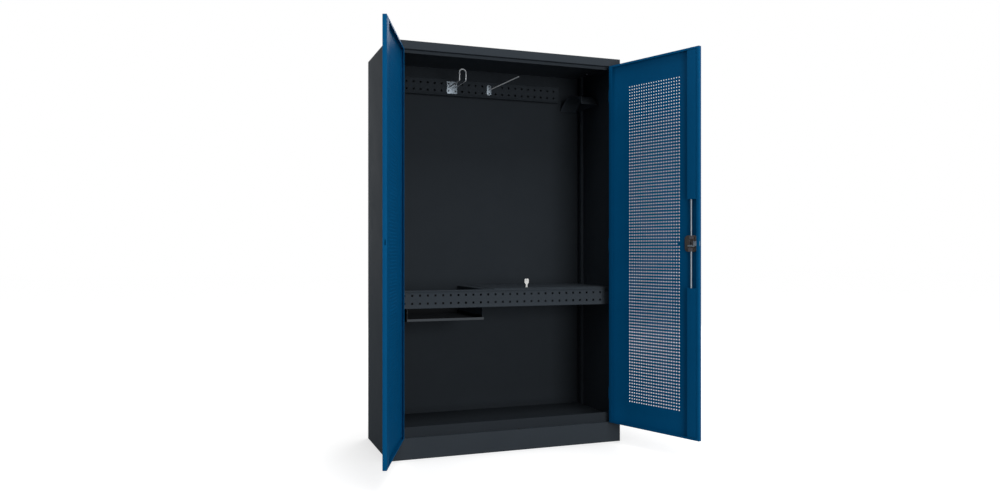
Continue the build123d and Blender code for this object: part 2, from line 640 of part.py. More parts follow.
def handle_grip():
    """Turned hub with a tapering lever that points to the hinge side when unlocked."""
    base = FRONT - PLATE_THICKNESS - SLIDE_CLEARANCE
    hub = round_bar((ROD_X, base, DOOR_MIDDLE), (ROD_X, base - HUB_LENGTH, DOOR_MIDDLE), HUB_RADIUS)
    hub = chamfer(hub.faces().sort_by(Axis.Y)[0].edges(), 2)
    lever_y = base - HUB_LENGTH + GRIP_THICKNESS / 2 + 2
    ends = []
    for x, width, thickness in ((ROD_X + HUB_RADIUS / 2, GRIP_WIDTH, GRIP_THICKNESS),
                                (ROD_X + GRIP_LENGTH, GRIP_WIDTH * 0.7, GRIP_THICKNESS * 0.8)):
        section = chamfer(Rectangle(thickness, width).vertices(), thickness / 3)
        ends.append(Plane(origin=(x, lever_y, DOOR_MIDDLE), x_dir=(0, 1, 0), z_dir=(1, 0, 0)) * section)
    lever = loft(ends, ruled=True)
    hub += lever
    seat = round_bar((ROD_X, base - HUB_LENGTH - 1, DOOR_MIDDLE),
                     (ROD_X, base - HUB_LENGTH + CYLINDER_LENGTH, DOOR_MIDDLE), CYLINDER_RADIUS)
    socket = round_bar((ROD_X, base + 1, DOOR_MIDDLE), (ROD_X, base - 5, DOOR_MIDDLE), SPINDLE_RADIUS)
    return hub - seat - socket


def lock_cylinder():
    base = FRONT - PLATE_THICKNESS - SLIDE_CLEARANCE - HUB_LENGTH
    barrel = round_bar((ROD_X, base - 1, DOOR_MIDDLE), (ROD_X, base + CYLINDER_LENGTH, DOOR_MIDDLE), CYLINDER_RADIUS)
    return barrel - round_bar((ROD_X, base - 2, DOOR_MIDDLE), (ROD_X, base + CYLINDER_LENGTH - 3, DOOR_MIDDLE),
                              PLUG_RADIUS + RUNNING)


def cylinder_plug():
    base = FRONT - PLATE_THICKNESS - SLIDE_CLEARANCE - HUB_LENGTH
    plug = round_bar((ROD_X, base - 1, DOOR_MIDDLE), (ROD_X, base + CYLINDER_LENGTH - 3.2, DOOR_MIDDLE), PLUG_RADIUS)
    return plug - block(ROD_X - KEYWAY_WIDTH / 2, ROD_X + KEYWAY_WIDTH / 2, base - 2, base + CYLINDER_LENGTH / 2,
                        DOOR_MIDDLE - KEYWAY_HEIGHT / 2, DOOR_MIDDLE + KEYWAY_HEIGHT / 2)


def spindle():
    """Spindle from the handle to the pinion, with the retaining cap over the pinion."""
    base = FRONT - PLATE_THICKNESS - SLIDE_CLEARANCE - 5
    bar = round_bar((ROD_X, base, DOOR_MIDDLE), (ROD_X, PINION_END, DOOR_MIDDLE), SPINDLE_RADIUS)
    cap = round_bar((ROD_X, PINION_END, DOOR_MIDDLE), (ROD_X, PINION_END + 1.6, DOOR_MIDDLE), SPINDLE_RADIUS + 1.5)
    return bar + cap


# Rails

def rail_section(face, z_centre, flange):
    """Rail profile in (Y, Z): the holed face lies a little behind two edge beads."""
    low, high = z_centre - RAIL_HEIGHT / 2, z_centre + RAIL_HEIGHT / 2
    inner = face + RAIL_JOGGLE
    return folded([(face + flange, low), (face, low), (face, low + RAIL_BEAD), (inner, low + RAIL_BEAD + RAIL_JOGGLE),
                   (inner, high - RAIL_BEAD - RAIL_JOGGLE), (face, high - RAIL_BEAD), (face, high),
                   (face + flange, high)], -SHEET)


def perforated_rail(face, x_centre, z_centre, columns, margin, flange):
    """Rail with two rows of square holes."""
    half = (columns - 1) * RAIL_PITCH / 2 + margin
    rail = along_x(rail_section(face, z_centre, flange), x_centre - half, x_centre + half)
    plane = Plane(origin=(x_centre, face + 6, z_centre), x_dir=(1, 0, 0), z_dir=(0, -1, 0))
    squares = Sketch() + [place * Rectangle(RAIL_HOLE, RAIL_HOLE)
                          for place in GridLocations(RAIL_PITCH, RAIL_PITCH, columns, 2)]
    return rail - extrude(plane * squares, amount=10)


def upper_column(index):
    """X of a hole column of the upper rail, counted from its middle column."""
    return UPPER_RAIL_X + index * RAIL_PITCH


def upper_rail_standoffs():
    """Z brackets between the back panel and the rail's rear face, each between two hole columns."""
    near = UPPER_RAIL_FACE + RAIL_JOGGLE + SHEET + STANDOFF_SHEET
    z0, z1 = UPPER_RAIL_Z - STANDOFF_HEIGHT / 2, UPPER_RAIL_Z + STANDOFF_HEIGHT / 2
    brackets = []
    for column in STANDOFF_COLUMNS:
        x = upper_column(column + 0.5)
        outline = folded([(x - STANDOFF_FOOT, BACK_FACE), (x, BACK_FACE), (x, near), (x + STANDOFF_FOOT / 2, near)],
                         -STANDOFF_SHEET, SHARP)
        brackets.append(along_z(outline, z0, z1))
    return group(brackets)


def middle_rail_bracket():
    """Channel between the rail's right end and the front upright."""
    near = MIDDLE_RAIL_FACE + RAIL_JOGGLE + SHEET
    far = near + BRACKET_DEPTH
    outline = folded([(UPRIGHT_FACE, far), (UPRIGHT_FACE, near), (MIDDLE_RAIL_HALF, near), (MIDDLE_RAIL_HALF, far)],
                     -SHEET, SHARP)
    return along_z(outline, MIDDLE_RAIL_Z - RAIL_HEIGHT / 2, SHELF_Z - SHELF_FLANGE - 1)


# Shelf, partition and tray

def shelf():
    """Shelf with folded front and rear edges and the slot that holds the key."""
    front, back = SHELF_FRONT, SHELF_BACK
    low = SHELF_Z - SHELF_FLANGE
    outline = folded([(front + SHELF_RETURN, low), (front, low), (front, SHELF_Z), (back, SHELF_Z), (back, low)],
                     -SHELF_SHEET)
    plate = along_x(outline, SHELF_LEFT, SHELF_RIGHT)
    half = KEY_BLADE_WIDTH / 2 + KEY_SLOT_CLEARANCE
    y0 = FRONT + KEY_DEPTH - KEY_THICKNESS / 2 - KEY_SLOT_CLEARANCE
    return plate - block(KEY_X - half, KEY_X + half, y0, y0 + KEY_THICKNESS + 2 * KEY_SLOT_CLEARANCE,
                         SHELF_SEAT - 1, SHELF_Z + 1)


def shelf_clips():
    """Angle clips on the right uprights, under the shelf's front and rear corners."""
    clips = []
    for depth in (FRONT_UPRIGHT_DEPTH, REAR_UPRIGHT_DEPTH):
        y0 = FRONT + depth + (UPRIGHT_WIDTH - CLIP_WIDTH) / 2
        outline = folded([(UPRIGHT_FACE, SHELF_SEAT - CLIP_HEIGHT), (UPRIGHT_FACE, SHELF_SEAT),
                          (UPRIGHT_FACE - CLIP_LENGTH, SHELF_SEAT)], SHEET, SHARP)
        clips.append(along_y(outline, y0, y0 + CLIP_WIDTH))
    return group(clips)


def partition():
    """Upright sheet at the tray's right end, with the flange that carries the shelf's left end."""
    outline = folded([(PARTITION_X, TRAY_BOTTOM), (PARTITION_X, SHELF_SEAT),
                      (PARTITION_X + PARTITION_FLANGE, SHELF_SEAT)], -SHEET)
    front = MIDDLE_RAIL_FACE + MIDDLE_RAIL_FLANGE
    sheet = along_y(outline, front, BACK_FACE)
    for y0, y1 in ((front - 1, SHELF_FRONT + SHELF_RETURN / 3), (SHELF_BACK - SHELF_RETURN / 3, BACK)):
        sheet -= block(SHELF_LEFT - 1, SHELF_LEFT + PARTITION_FLANGE, y0, y1, SHELF_SEAT - 2 * SHEET, SHELF_Z)
    return sheet


def tray():
    """Tray below the rail: floor, low front lip, tall back and two side flanges."""
    front = FRONT + TRAY_FRONT_DEPTH
    top = TRAY_BOTTOM + TRAY_LIP
    sheet = SHELF_SHEET
    outline = folded([(front + 6, top), (front, top), (front, TRAY_BOTTOM), (BACK_FACE, TRAY_BOTTOM),
                      (BACK_FACE, TRAY_BOTTOM + TRAY_BACK_HEIGHT)], sheet)
    body = along_x(outline, TRAY_LEFT, PARTITION_X)
    rear = BACK_FACE - sheet
    rail_foot = MIDDLE_RAIL_Z - RAIL_HEIGHT / 2
    body += block(TRAY_LEFT, TRAY_LEFT + sheet, front + sheet, rear, TRAY_BOTTOM + sheet, rail_foot)
    body += block(PARTITION_X - sheet, PARTITION_X, MIDDLE_RAIL_FACE + MIDDLE_RAIL_FLANGE, rear,
                  TRAY_BOTTOM + sheet, TRAY_BOTTOM + TRAY_SIDE_FLANGE)
    return body


# Hooks on the upper rail

def double_hook_screws():
    x = upper_column(DOUBLE_HOOK_COLUMN)
    half = RAIL_PITCH / 2
    return [(x + i * half, UPPER_RAIL_Z + k * half) for i in (-1, 1) for k in (-1, 1)]


def single_hook_screws():
    x = upper_column(SINGLE_HOOK_COLUMN)
    return [(x, UPPER_RAIL_Z + k * RAIL_PITCH / 2) for k in (-1, 1)]


def hook_plate(x, width, height, corner):
    """Plate against the rail's beads."""
    centred = Plane(origin=(x, UPPER_RAIL_FACE + RAIL_JOGGLE, UPPER_RAIL_Z), x_dir=(1, 0, 0), z_dir=(0, -1, 0))
    return extrude(centred * RectangleRounded(width, height, corner), amount=HOOK_PLATE)


def hook_screws():
    """Hexagon heads on the two plates, over holes of the rail."""
    face = UPPER_RAIL_FACE + RAIL_JOGGLE - HOOK_PLATE
    return group([extrude(Plane(origin=(x, face, z), z_dir=(0, -1, 0)) * RegularPolygon(SCREW_HEAD_RADIUS, 6),
                          amount=SCREW_HEAD_HEIGHT) for x, z in double_hook_screws() + single_hook_screws()])


def double_hook_wire():
    """One bent wire: forward, up, over and back again as two arms joined by a half circle."""
    x = upper_column(DOUBLE_HOOK_COLUMN)
    start = UPPER_RAIL_FACE + RAIL_JOGGLE - HOOK_PLATE
    end = start - DOUBLE_REACH
    z0, z1 = UPPER_RAIL_Z, UPPER_RAIL_Z + DOUBLE_RISE - WIRE_SPACING / 2
    half = WIRE_SPACING / 2
    arms = []
    for side in (-1, 1):
        sx = x + side * half
        arms.append(FilletPolyline((sx, start, z0), (sx, end, z0), (sx, end, z1), radius=WIRE_BEND))
    arch = ThreePointArc((x - half, end, z1), (x, end, z1 + half), (x + half, end, z1))
    path = Wire(list(arms[0].edges()) + list(arch.edges()) + list(arms[1].edges()))
    section = Plane(origin=(x - half, start, z0), z_dir=(0, -1, 0)) * RegularPolygon(WIRE_RADIUS, 8)
    return sweep(section, path=path)


def single_hook_pin():
    """Pin that leaves the plate squarely, then bends up and to the right."""
    x = upper_column(SINGLE_HOOK_COLUMN)
    start = UPPER_RAIL_FACE + RAIL_JOGGLE - HOOK_PLATE
    dx, dy, dz = SINGLE_TIP
    path = FilletPolyline((x, start, UPPER_RAIL_Z), (x, start - SINGLE_STUB, UPPER_RAIL_Z),
                          (x + dx, start + dy, UPPER_RAIL_Z + dz), radius=WIRE_BEND)
    section = Plane(origin=(x, start, UPPER_RAIL_Z), z_dir=(0, -1, 0)) * RegularPolygon(WIRE_RADIUS, 8)
    return sweep(section, path=path)


# Hose saddle

def saddle_circle():
    """Centre in (Y, Z) and radius of the saddle's arc."""
    half = SADDLE_CHORD / 2
    radius = (half ** 2 + SADDLE_RISE ** 2) / (2 * SADDLE_RISE)
    return SADDLE_END - half, SADDLE_Z + SADDLE_RISE - radius, radius


def saddle_arc(radius_change):
    """Arc of the saddle's section in (Y, Z), moved outwards by radius_change."""
    centre_y, centre_z, radius = saddle_circle()
    swing = atan2(SADDLE_CHORD / 2, radius - SADDLE_RISE)
    r = radius + radius_change
    return [(centre_y + r * sin(a), centre_z + r * cos(a)) for a in (-swing, 0, swing)]


def saddle_lip():
    """Upturned lip in (Y, Z): it fills the front corner up to a line that touches the arc."""
    centre_y, centre_z, radius = saddle_circle()
    front, top = SADDLE_END - SADDLE_CHORD, SADDLE_Z + SADDLE_LIP
    run, rise = front - centre_y, top - centre_z
    touch = atan2(run, rise) + acos(radius / hypot(run, rise))
    y, z = centre_y + radius * sin(touch), centre_z + radius * cos(touch)
    corner = make_face(Polyline((front, SADDLE_Z - SADDLE_SHEET), (front, top), (y, z), (y, z - SADDLE_SHEET), close=True))
    return corner - Pos(centre_y, centre_z) * Circle(radius - SADDLE_SHEET)


def arc_band(low, high):
    """Closed face between two arcs of the saddle."""
    a, b = saddle_arc(low), saddle_arc(high)
    return make_face([ThreePointArc(*a).edge(), Line(a[2], b[2]).edge(), ThreePointArc(*b).edge(),
                      Line(b[0], a[0]).edge()])


def saddle_span():
    """Space between the saddle's two ends."""
    return block(UPRIGHT_FACE - 2 * SADDLE_REACH, UPRIGHT_FACE, SADDLE_END - SADDLE_CHORD, SADDLE_END, 0, HEIGHT)


def saddle_arch():
    """Curved carrier with an upturned outer lip."""
    inner = UPRIGHT_FACE - SADDLE_SHEET
    carrier = along_x(arc_band(-SADDLE_SHEET, 0), inner - SADDLE_REACH, inner)
    lip = along_x(saddle_lip(), inner - SADDLE_REACH, inner - SADDLE_REACH + SADDLE_SHEET)
    return (carrier + lip) & saddle_span()


def saddle_plate():
    """Plate against the rear upright, with a tongue that hooks down behind one of its slots."""
    a, b = saddle_arc(-SADDLE_SHEET), saddle_arc(0)
    face = make_face([Line(a[0], a[2]).edge(), Line(a[2], b[2]).edge(), ThreePointArc(*b).edge(),
                      Line(b[0], a[0]).edge()])
    plate = along_x(face, UPRIGHT_FACE - SADDLE_SHEET, UPRIGHT_FACE) & saddle_span()
    low = upright_slots()[1] - SLOT_HEIGHT / 2
    y = FRONT + REAR_UPRIGHT_DEPTH + UPRIGHT_WIDTH / 2
    half, web = TONGUE_WIDTH / 2, UPRIGHT_FACE + SHEET
    plate += block(UPRIGHT_FACE, web + SADDLE_TONGUE, y - half, y + half, low, low + TONGUE_HEIGHT)
    return plate + block(web, web + SADDLE_TONGUE, y - half, y + half, low - TONGUE_HOOK, low + TONGUE_HEIGHT)


def key():
    """Key with a rounded bow, a collar on the shelf and the blade below it."""
    bow_low = KEY_HEIGHT - KEY_BOW_HEIGHT
    half, blade = KEY_BOW_WIDTH / 2, KEY_BLADE_WIDTH / 2
    shape = make_face(Polyline((-blade, -KEY_BLADE_BELOW), (-blade, bow_low - 6), (-half, bow_low + 5),
                               (-half + 1, KEY_HEIGHT), (half - 1, KEY_HEIGHT), (half, bow_low + 5),
                               (blade, bow_low - 6), (blade, -KEY_BLADE_BELOW), close=True))
    rounded = corner_vertices(shape, [Vector(-half + 1, KEY_HEIGHT, 0), Vector(half - 1, KEY_HEIGHT, 0)])
    shape = fillet(rounded, 6)
    shape += Pos(0, KEY_COLLAR / 2) * Rectangle(KEY_BLADE_WIDTH + 5, KEY_COLLAR)
    shape -= Pos(0, KEY_HEIGHT - 7) * Circle(KEY_HOLE_RADIUS)
    y = FRONT + KEY_DEPTH
    return along_y(Pos(KEY_X, SHELF_Z) * shape, y - KEY_THICKNESS / 2, y + KEY_THICKNESS / 2)


def build():
    """Every node by name, in its place with both doors open."""
    side = side_panel()
    front_upright, rear_upright = upright(FRONT_UPRIGHT_DEPTH), upright(REAR_UPRIGHT_DEPTH)
    parts.update({
        "side_panel_right": side,
        "side_panel_left": other_side(side),
        "back_panel": back_panel(),
        "top_panel": top_panel(),
        "floor_pan": floor_pan(),
        "plinth_front": plinth_front(),
        "plinth_rear": plinth_rear(),
        "floor_bearer": floor_bearer(),
        "roof_bolts": roof_bolts(),
        "upright_front_right": front_upright,
        "upright_front_left": other_side(front_upright),
        "upright_rear_right": rear_upright,
        "upright_rear_left": other_side(rear_upright),
    })
    bracket = middle_rail_bracket()
    parts.update({
        "upper_rail": perforated_rail(UPPER_RAIL_FACE, UPPER_RAIL_X, UPPER_RAIL_Z, UPPER_RAIL_COLUMNS,
                                      UPPER_RAIL_MARGIN, UPPER_RAIL_FLANGE),
        "upper_rail_standoffs": upper_rail_standoffs(),
        "middle_rail": perforated_rail(MIDDLE_RAIL_FACE, 0, MIDDLE_RAIL_Z, MIDDLE_RAIL_COLUMNS,
                                       MIDDLE_RAIL_MARGIN, MIDDLE_RAIL_FLANGE),
        "middle_rail_bracket_right": bracket,
        "middle_rail_bracket_left": other_side(bracket),
        "shelf": shelf(),
        "shelf_clips": shelf_clips(),
        "partition": partition(),
        "tray": tray(),
        "double_hook_plate": hook_plate(upper_column(DOUBLE_HOOK_COLUMN), DOUBLE_PLATE_WIDTH, DOUBLE_PLATE_HEIGHT,
                                        4),
        "double_hook_wire": double_hook_wire(),
        "single_hook_plate": hook_plate(upper_column(SINGLE_HOOK_COLUMN), SINGLE_PLATE_WIDTH, SINGLE_PLATE_HEIGHT,
                                        SINGLE_PLATE_WIDTH / 2 - 0.5),
        "single_hook_pin": single_hook_pin(),
        "hook_screws": hook_screws(),
        "saddle_plate": saddle_plate(),
        "saddle_arch": saddle_arch(),
        "shelf_key": key(),
        "strike_bush_upper": strike_bush(HEADER_BOTTOM, 1),
        "strike_bush_lower": strike_bush(PLINTH_HEIGHT, -1),
    })
    leaves, pins = frame_leaves(), hinge_pins()
    parts.update({
        "hinge_frame_leaves_right": leaves,
        "hinge_frame_leaves_left": other_side(leaves),
        "hinge_pins_right": pins,
        "hinge_pins_left": other_side(pins),
    })
    upper_channel, lower_channel = rod_channels()
    right_door = {
        "door_skin_right": right_door_skin(),
        "hinge_door_leaves_right": door_leaves(),
        "rod_channel_upper": upper_channel,
        "rod_channel_lower": lower_channel,
        "rod_guides": rod_guides(),
        "lock_case": lock_case(),
        "handle_plate": handle_plate(),
        "handle_grip": handle_grip(),
        "lock_cylinder": lock_cylinder(),
        "cylinder_plug": cylinder_plug(),
        "spindle": spindle(),
        "pinion": pinion(),
        "rod_upper": rod(1),
        "rod_lower": rod(-1),
        "rack_upper": rod_rack(-1),
        "rack_lower": rod_rack(1),
        "latch_bolt": latch_bolt(),
    }
    left_door = {
        "door_skin_left": door_skin() - latch_slot(DOOR_FREE - 1, DOOR_FREE + 3),
        "hinge_door_leaves_left": door_leaves(),
        "door_stiffener_left": left_stiffener(),
    }
    parts.update({name: swung(shape) for name, shape in right_door.items()})
    parts.update({name: other_side(swung(shape)) for name, shape in left_door.items()})


build()
os.makedirs("parts", exist_ok=True)
for name, shape in parts.items():
    export_step(shape, os.path.join("parts", name + ".step"))
print(len(parts), "nodes; rod travel", round(ROD_TRAVEL, 3))
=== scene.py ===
import json
import math
from collections import Counter

import bpy
from mathutils import Matrix, Vector


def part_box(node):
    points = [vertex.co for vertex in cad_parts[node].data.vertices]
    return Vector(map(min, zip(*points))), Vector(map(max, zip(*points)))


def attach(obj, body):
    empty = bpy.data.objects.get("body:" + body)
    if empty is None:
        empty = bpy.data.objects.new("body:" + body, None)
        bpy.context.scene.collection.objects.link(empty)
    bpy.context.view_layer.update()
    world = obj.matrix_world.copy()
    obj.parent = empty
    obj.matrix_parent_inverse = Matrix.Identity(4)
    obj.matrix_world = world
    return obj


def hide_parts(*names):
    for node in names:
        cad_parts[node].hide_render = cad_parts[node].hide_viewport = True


MM = 0.001

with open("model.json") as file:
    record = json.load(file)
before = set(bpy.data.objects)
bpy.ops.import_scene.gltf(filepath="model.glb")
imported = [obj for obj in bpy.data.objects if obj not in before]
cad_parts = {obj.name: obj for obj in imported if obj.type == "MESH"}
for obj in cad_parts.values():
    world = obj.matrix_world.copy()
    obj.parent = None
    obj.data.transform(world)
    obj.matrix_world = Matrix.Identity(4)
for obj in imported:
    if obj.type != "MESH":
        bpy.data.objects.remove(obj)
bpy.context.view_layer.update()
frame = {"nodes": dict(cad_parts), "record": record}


# Camera: level and turned 20 degrees to the right. Its place and lens fit the cabinet's edges in the photo.

CAMERA_PLACE = (-1.3867, -3.9123, 0.9712)
CAMERA_HEADING = -20
CAMERA_LENS = 29.01
CAMERA_SHIFT = 0.00093

bpy.ops.object.camera_add(location=CAMERA_PLACE, rotation=(math.radians(90), 0, math.radians(CAMERA_HEADING)))
camera = bpy.context.object
camera.name = "camera"
camera.data.sensor_width = 36
camera.data.lens = CAMERA_LENS
camera.data.shift_y = CAMERA_SHIFT
bpy.context.scene.camera = camera
bpy.context.scene.view_settings.view_transform = "Standard"


# Measures of the closed right door, in metres. They are the solids' own, but for the holes: the solids have
# them 6 mm wide, which blends to a whiter net than the photo's.

FRONT = -0.25
DOOR_SHEET = 1.2 * MM
DOOR_THICKNESS = 18 * MM
DOOR_FREE = 1.5 * MM
DOOR_EDGE = 547 * MM
DOOR_BOTTOM = 102.5 * MM
DOOR_TOP = 1907.5 * MM
DOOR_MIDDLE = (DOOR_BOTTOM + DOOR_TOP) / 2
HINGE_LIP = 22 * MM
FREE_LIP = 14 * MM
END_LIP = 10 * MM
DOOR_BEND = 2 * MM
HOLE_SIZE = 5 * MM
HOLE_PITCH = 15 * MM
HOLE_COLUMNS = 21
HOLE_ROWS = 105
OPEN_ANGLE = math.radians(110.5)
PIVOT = Vector((548.5 * MM, -254.2 * MM, 0))
ROD_X = 49 * MM
ROD_Y = FRONT + 11 * MM
LATCH_SLOT = ((-1 * MM, ROD_Y - 1.9 * MM, DOOR_MIDDLE - 11.3 * MM),
              (6 * MM, ROD_Y + 1.7 * MM, DOOR_MIDDLE + 11.3 * MM))
GUIDE_HOLE_HALF = 6.2 * MM
GUIDE_HOLE_REACH = 3 * MM
WELD_DISTANCE = 0.01 * MM


# Helpers

def deselect():
    """Nothing stays selected, so the next operator acts on its own piece alone."""
    if bpy.context.object and bpy.context.object.mode != "OBJECT":
        bpy.ops.object.mode_set(mode="OBJECT")
    bpy.ops.object.select_all(action="DESELECT")


def pick(piece):
    deselect()
    piece.select_set(True)
    bpy.context.view_layer.objects.active = piece


def leave_edit():
    bpy.ops.object.mode_set(mode="OBJECT")


def settle(piece):
    """Puts the piece's place into its mesh, so its object sits at the origin."""
    pick(piece)
    bpy.ops.object.transform_apply(location=True, rotation=True, scale=True)


def smooth(piece, angle=35):
    """Shades the faces smooth that meet at less than the angle."""
    pick(piece)
    bpy.ops.object.shade_smooth_by_angle(angle=math.radians(angle))


def near(a, b, slack=1e-5):
    return abs(a - b) < slack


def add_modifier(piece, kind, **settings):
    """Adds a modifier and applies it."""
    pick(piece)
    modifier = piece.modifiers.new(kind.lower(), kind)
    for key, value in settings.items():
        setattr(modifier, key, value)
    bpy.ops.object.modifier_apply(modifier=modifier.name)


def select_where(piece, kind, test):
    """Selects the faces or edges that pass the test, and stays in edit mode. The test gets the centre, and an
    edge's direction or a face's normal."""
    pick(piece)
    bpy.ops.object.mode_set(mode="EDIT")
    bpy.ops.mesh.select_all(action="DESELECT")
    bpy.ops.mesh.select_mode(type=kind)
    bpy.ops.object.mode_set(mode="OBJECT")
    mesh = piece.data
    if kind == "FACE":
        for face in mesh.polygons:
            face.select = test(face.center, face.normal)
    else:
        for edge in mesh.edges:
            a, b = (mesh.vertices[i].co for i in edge.vertices)
            edge.select = test((a + b) / 2, (b - a).normalized())
    bpy.ops.object.mode_set(mode="EDIT")


def draw_out(piece, test, move):
    """Draws new faces out of the edges that pass the test."""
    select_where(piece, "EDGE", test)
    bpy.ops.mesh.extrude_region_move(TRANSFORM_OT_translate={"value": move})
    leave_edit()


def round_edges(piece, test, width, segments):
    """Rounds the edges that pass the test."""
    select_where(piece, "EDGE", test)
    bpy.ops.mesh.bevel(offset=width, segments=segments, affect="EDGES", clamp_overlap=True)
    leave_edit()


def soften(piece, width, segments=2):
    """Breaks all sharp edges and shades the rest smooth."""
    add_modifier(piece, "BEVEL", width=width, segments=segments, limit_method="ANGLE",
                 angle_limit=math.radians(40), harden_normals=False)
    smooth(piece)


def add_block(name, low, high):
    """A box between two corners, to be shaped further."""
    deselect()
    middle = [(a + b) / 2 for a, b in zip(low, high)]
    bpy.ops.mesh.primitive_cube_add(size=1, location=middle)
    piece = bpy.context.object
    piece.name = name
    piece.scale = [b - a for a, b in zip(low, high)]
    settle(piece)
    return piece


def add_bar(name, start, end, radius, sides=32):
    """A round bar between two points, to be shaped further."""
    deselect()
    start, end = Vector(start), Vector(end)
    axis = end - start
    bpy.ops.mesh.primitive_cylinder_add(vertices=sides, radius=radius, depth=axis.length,
                                        location=(start + end) / 2,
                                        rotation=axis.to_track_quat("Z", "Y").to_euler())
    piece = bpy.context.object
    piece.name = name
    settle(piece)
    return piece


def bent_bar(name, start, direction, radius, steps, sides=20):
    """A wire drawn out from its first face: it runs straight, or turns towards a side in a bend."""
    deselect()
    place, way = Vector(start), Vector(direction).normalized()
    bpy.ops.mesh.primitive_circle_add(vertices=sides, radius=radius, fill_type="NGON", location=place,
                                      rotation=way.to_track_quat("Z", "Y").to_euler())
    wire = bpy.context.object
    wire.name = name
    settle(wire)
    bpy.ops.object.mode_set(mode="EDIT")
    bpy.ops.mesh.select_mode(type="FACE")
    bpy.ops.mesh.select_all(action="SELECT")
    degrees_in_a_step = 11
    for kind, *values in steps:
        if kind == "run":
            bpy.ops.mesh.extrude_region_move(TRANSFORM_OT_translate={"value": way * values[0]})
            place += way * values[0]
        else:
            toward, bend, degrees = Vector(values[0]).normalized(), values[1], values[2]
            angle = math.radians(degrees)
            centre = place + toward * bend
            bpy.ops.mesh.spin(steps=max(4, int(degrees / degrees_in_a_step)), angle=angle, center=centre,
                              axis=toward.cross(way))
            place = centre - toward * (bend * math.cos(angle)) + way * (bend * math.sin(angle))
            way = way * math.cos(angle) + toward * math.sin(angle)
    bpy.ops.mesh.select_all(action="SELECT")
    bpy.ops.mesh.normals_make_consistent(inside=False)
    leave_edit()
    smooth(wire, 40)
    return wire


def fuse(piece, other):
    """Welds another closed piece onto this one."""
    add_modifier(piece, "BOOLEAN", operation="UNION", object=other, solver="EXACT")
    bpy.data.objects.remove(other)


def cut(piece, cutter):
    """Takes the cutter out of the piece and removes the cutter."""
    add_modifier(piece, "BOOLEAN", operation="DIFFERENCE", object=cutter, solver="EXACT")
    bpy.data.objects.remove(cutter)


def join(pieces, name):
    """One object from several separate pieces."""
    pick(pieces[0])
    for piece in pieces:
        piece.select_set(True)
    bpy.ops.object.join()
    joined = bpy.context.object
    joined.name = name
    return joined


def copied(piece, move=(0, 0, 0)):
    """A copy with its own mesh, moved by a distance."""
    pick(piece)
    bpy.ops.object.duplicate()
    twin = bpy.context.object
    twin.location = move
    settle(twin)
    return twin


def mirrored(piece, name):
    """A copy on the other side of the cabinet's middle plane, with its faces outwards."""
    pick(piece)
    bpy.ops.object.duplicate()
    twin = bpy.context.object
    twin.name = name
    twin.scale = (-1, 1, 1)
    settle(twin)
    bpy.ops.object.mode_set(mode="EDIT")
    bpy.ops.mesh.select_all(action="SELECT")
    bpy.ops.mesh.normals_make_consistent(inside=False)
    leave_edit()
    return twin


def swing_open(piece):
    """Carries a piece of the closed right door to the open place."""
    about_pivot = Matrix.Translation(PIVOT) @ Matrix.Rotation(OPEN_ANGLE, 4, "Z") @ Matrix.Translation(-PIVOT)
    piece.data.transform(about_pivot)
    piece.data.update()


def finish_of(node):
    """The node's own finish, or else its slot's."""
    return OWN_FINISH.get(node) or FINISH_OF_SLOT[SLOT_OF_NODE[node]]


def stand_for(piece, node):
    """Puts a finished piece in a node's place, on its body and with its finish."""
    piece.data.materials.clear()
    piece.data.materials.append(finish_of(node))
    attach(piece, BODY_OF_NODE[node])
    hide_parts(node)
    REPLACED.add(node)


# Materials. Each pattern's scale is one over a real length, because the coordinates are in metres.

def colour(text):
    """Linear colour of an sRGB hex value."""
    parts = [int(text[i:i + 2], 16) / 255 for i in (1, 3, 5)]
    return tuple(p / 12.92 if p <= 0.04045 else ((p + 0.055) / 1.055) ** 2.4 for p in parts) + (1,)


def add_node(tree, kind, inputs=None, **settings):
    """Adds a node with its settings. An input is a value, or a pair of a node and the name of its output."""
    made = tree.nodes.new(kind)
    for key, value in settings.items():
        setattr(made, key, value)
    for key, value in (inputs or {}).items():
        if isinstance(value, tuple) and isinstance(value[0], bpy.types.Node):
            tree.links.new(value[0].outputs[value[1]], made.inputs[key])
        else:
            made.inputs[key].default_value = value
    return made


def new_finish(name):
    """Empty material with its output and the coordinates of the piece in metres."""
    finish = bpy.data.materials.new(name)
    finish.use_nodes = True
    tree = finish.node_tree
    tree.nodes.clear()
    output = add_node(tree, "ShaderNodeOutputMaterial")
    place = add_node(tree, "ShaderNodeTexCoord")
    return finish, tree, output, place


CLOUD_SIZE = 140 * MM
PEEL_SIZE = 2.5 * MM
PEEL_HEIGHT = 0.05 * MM
PLATE_MARK_HEIGHT = 0.03 * MM
SPARK_GRAIN_SIZE = 0.9 * MM
SPARK_GRAIN_HEIGHT = 0.06 * MM


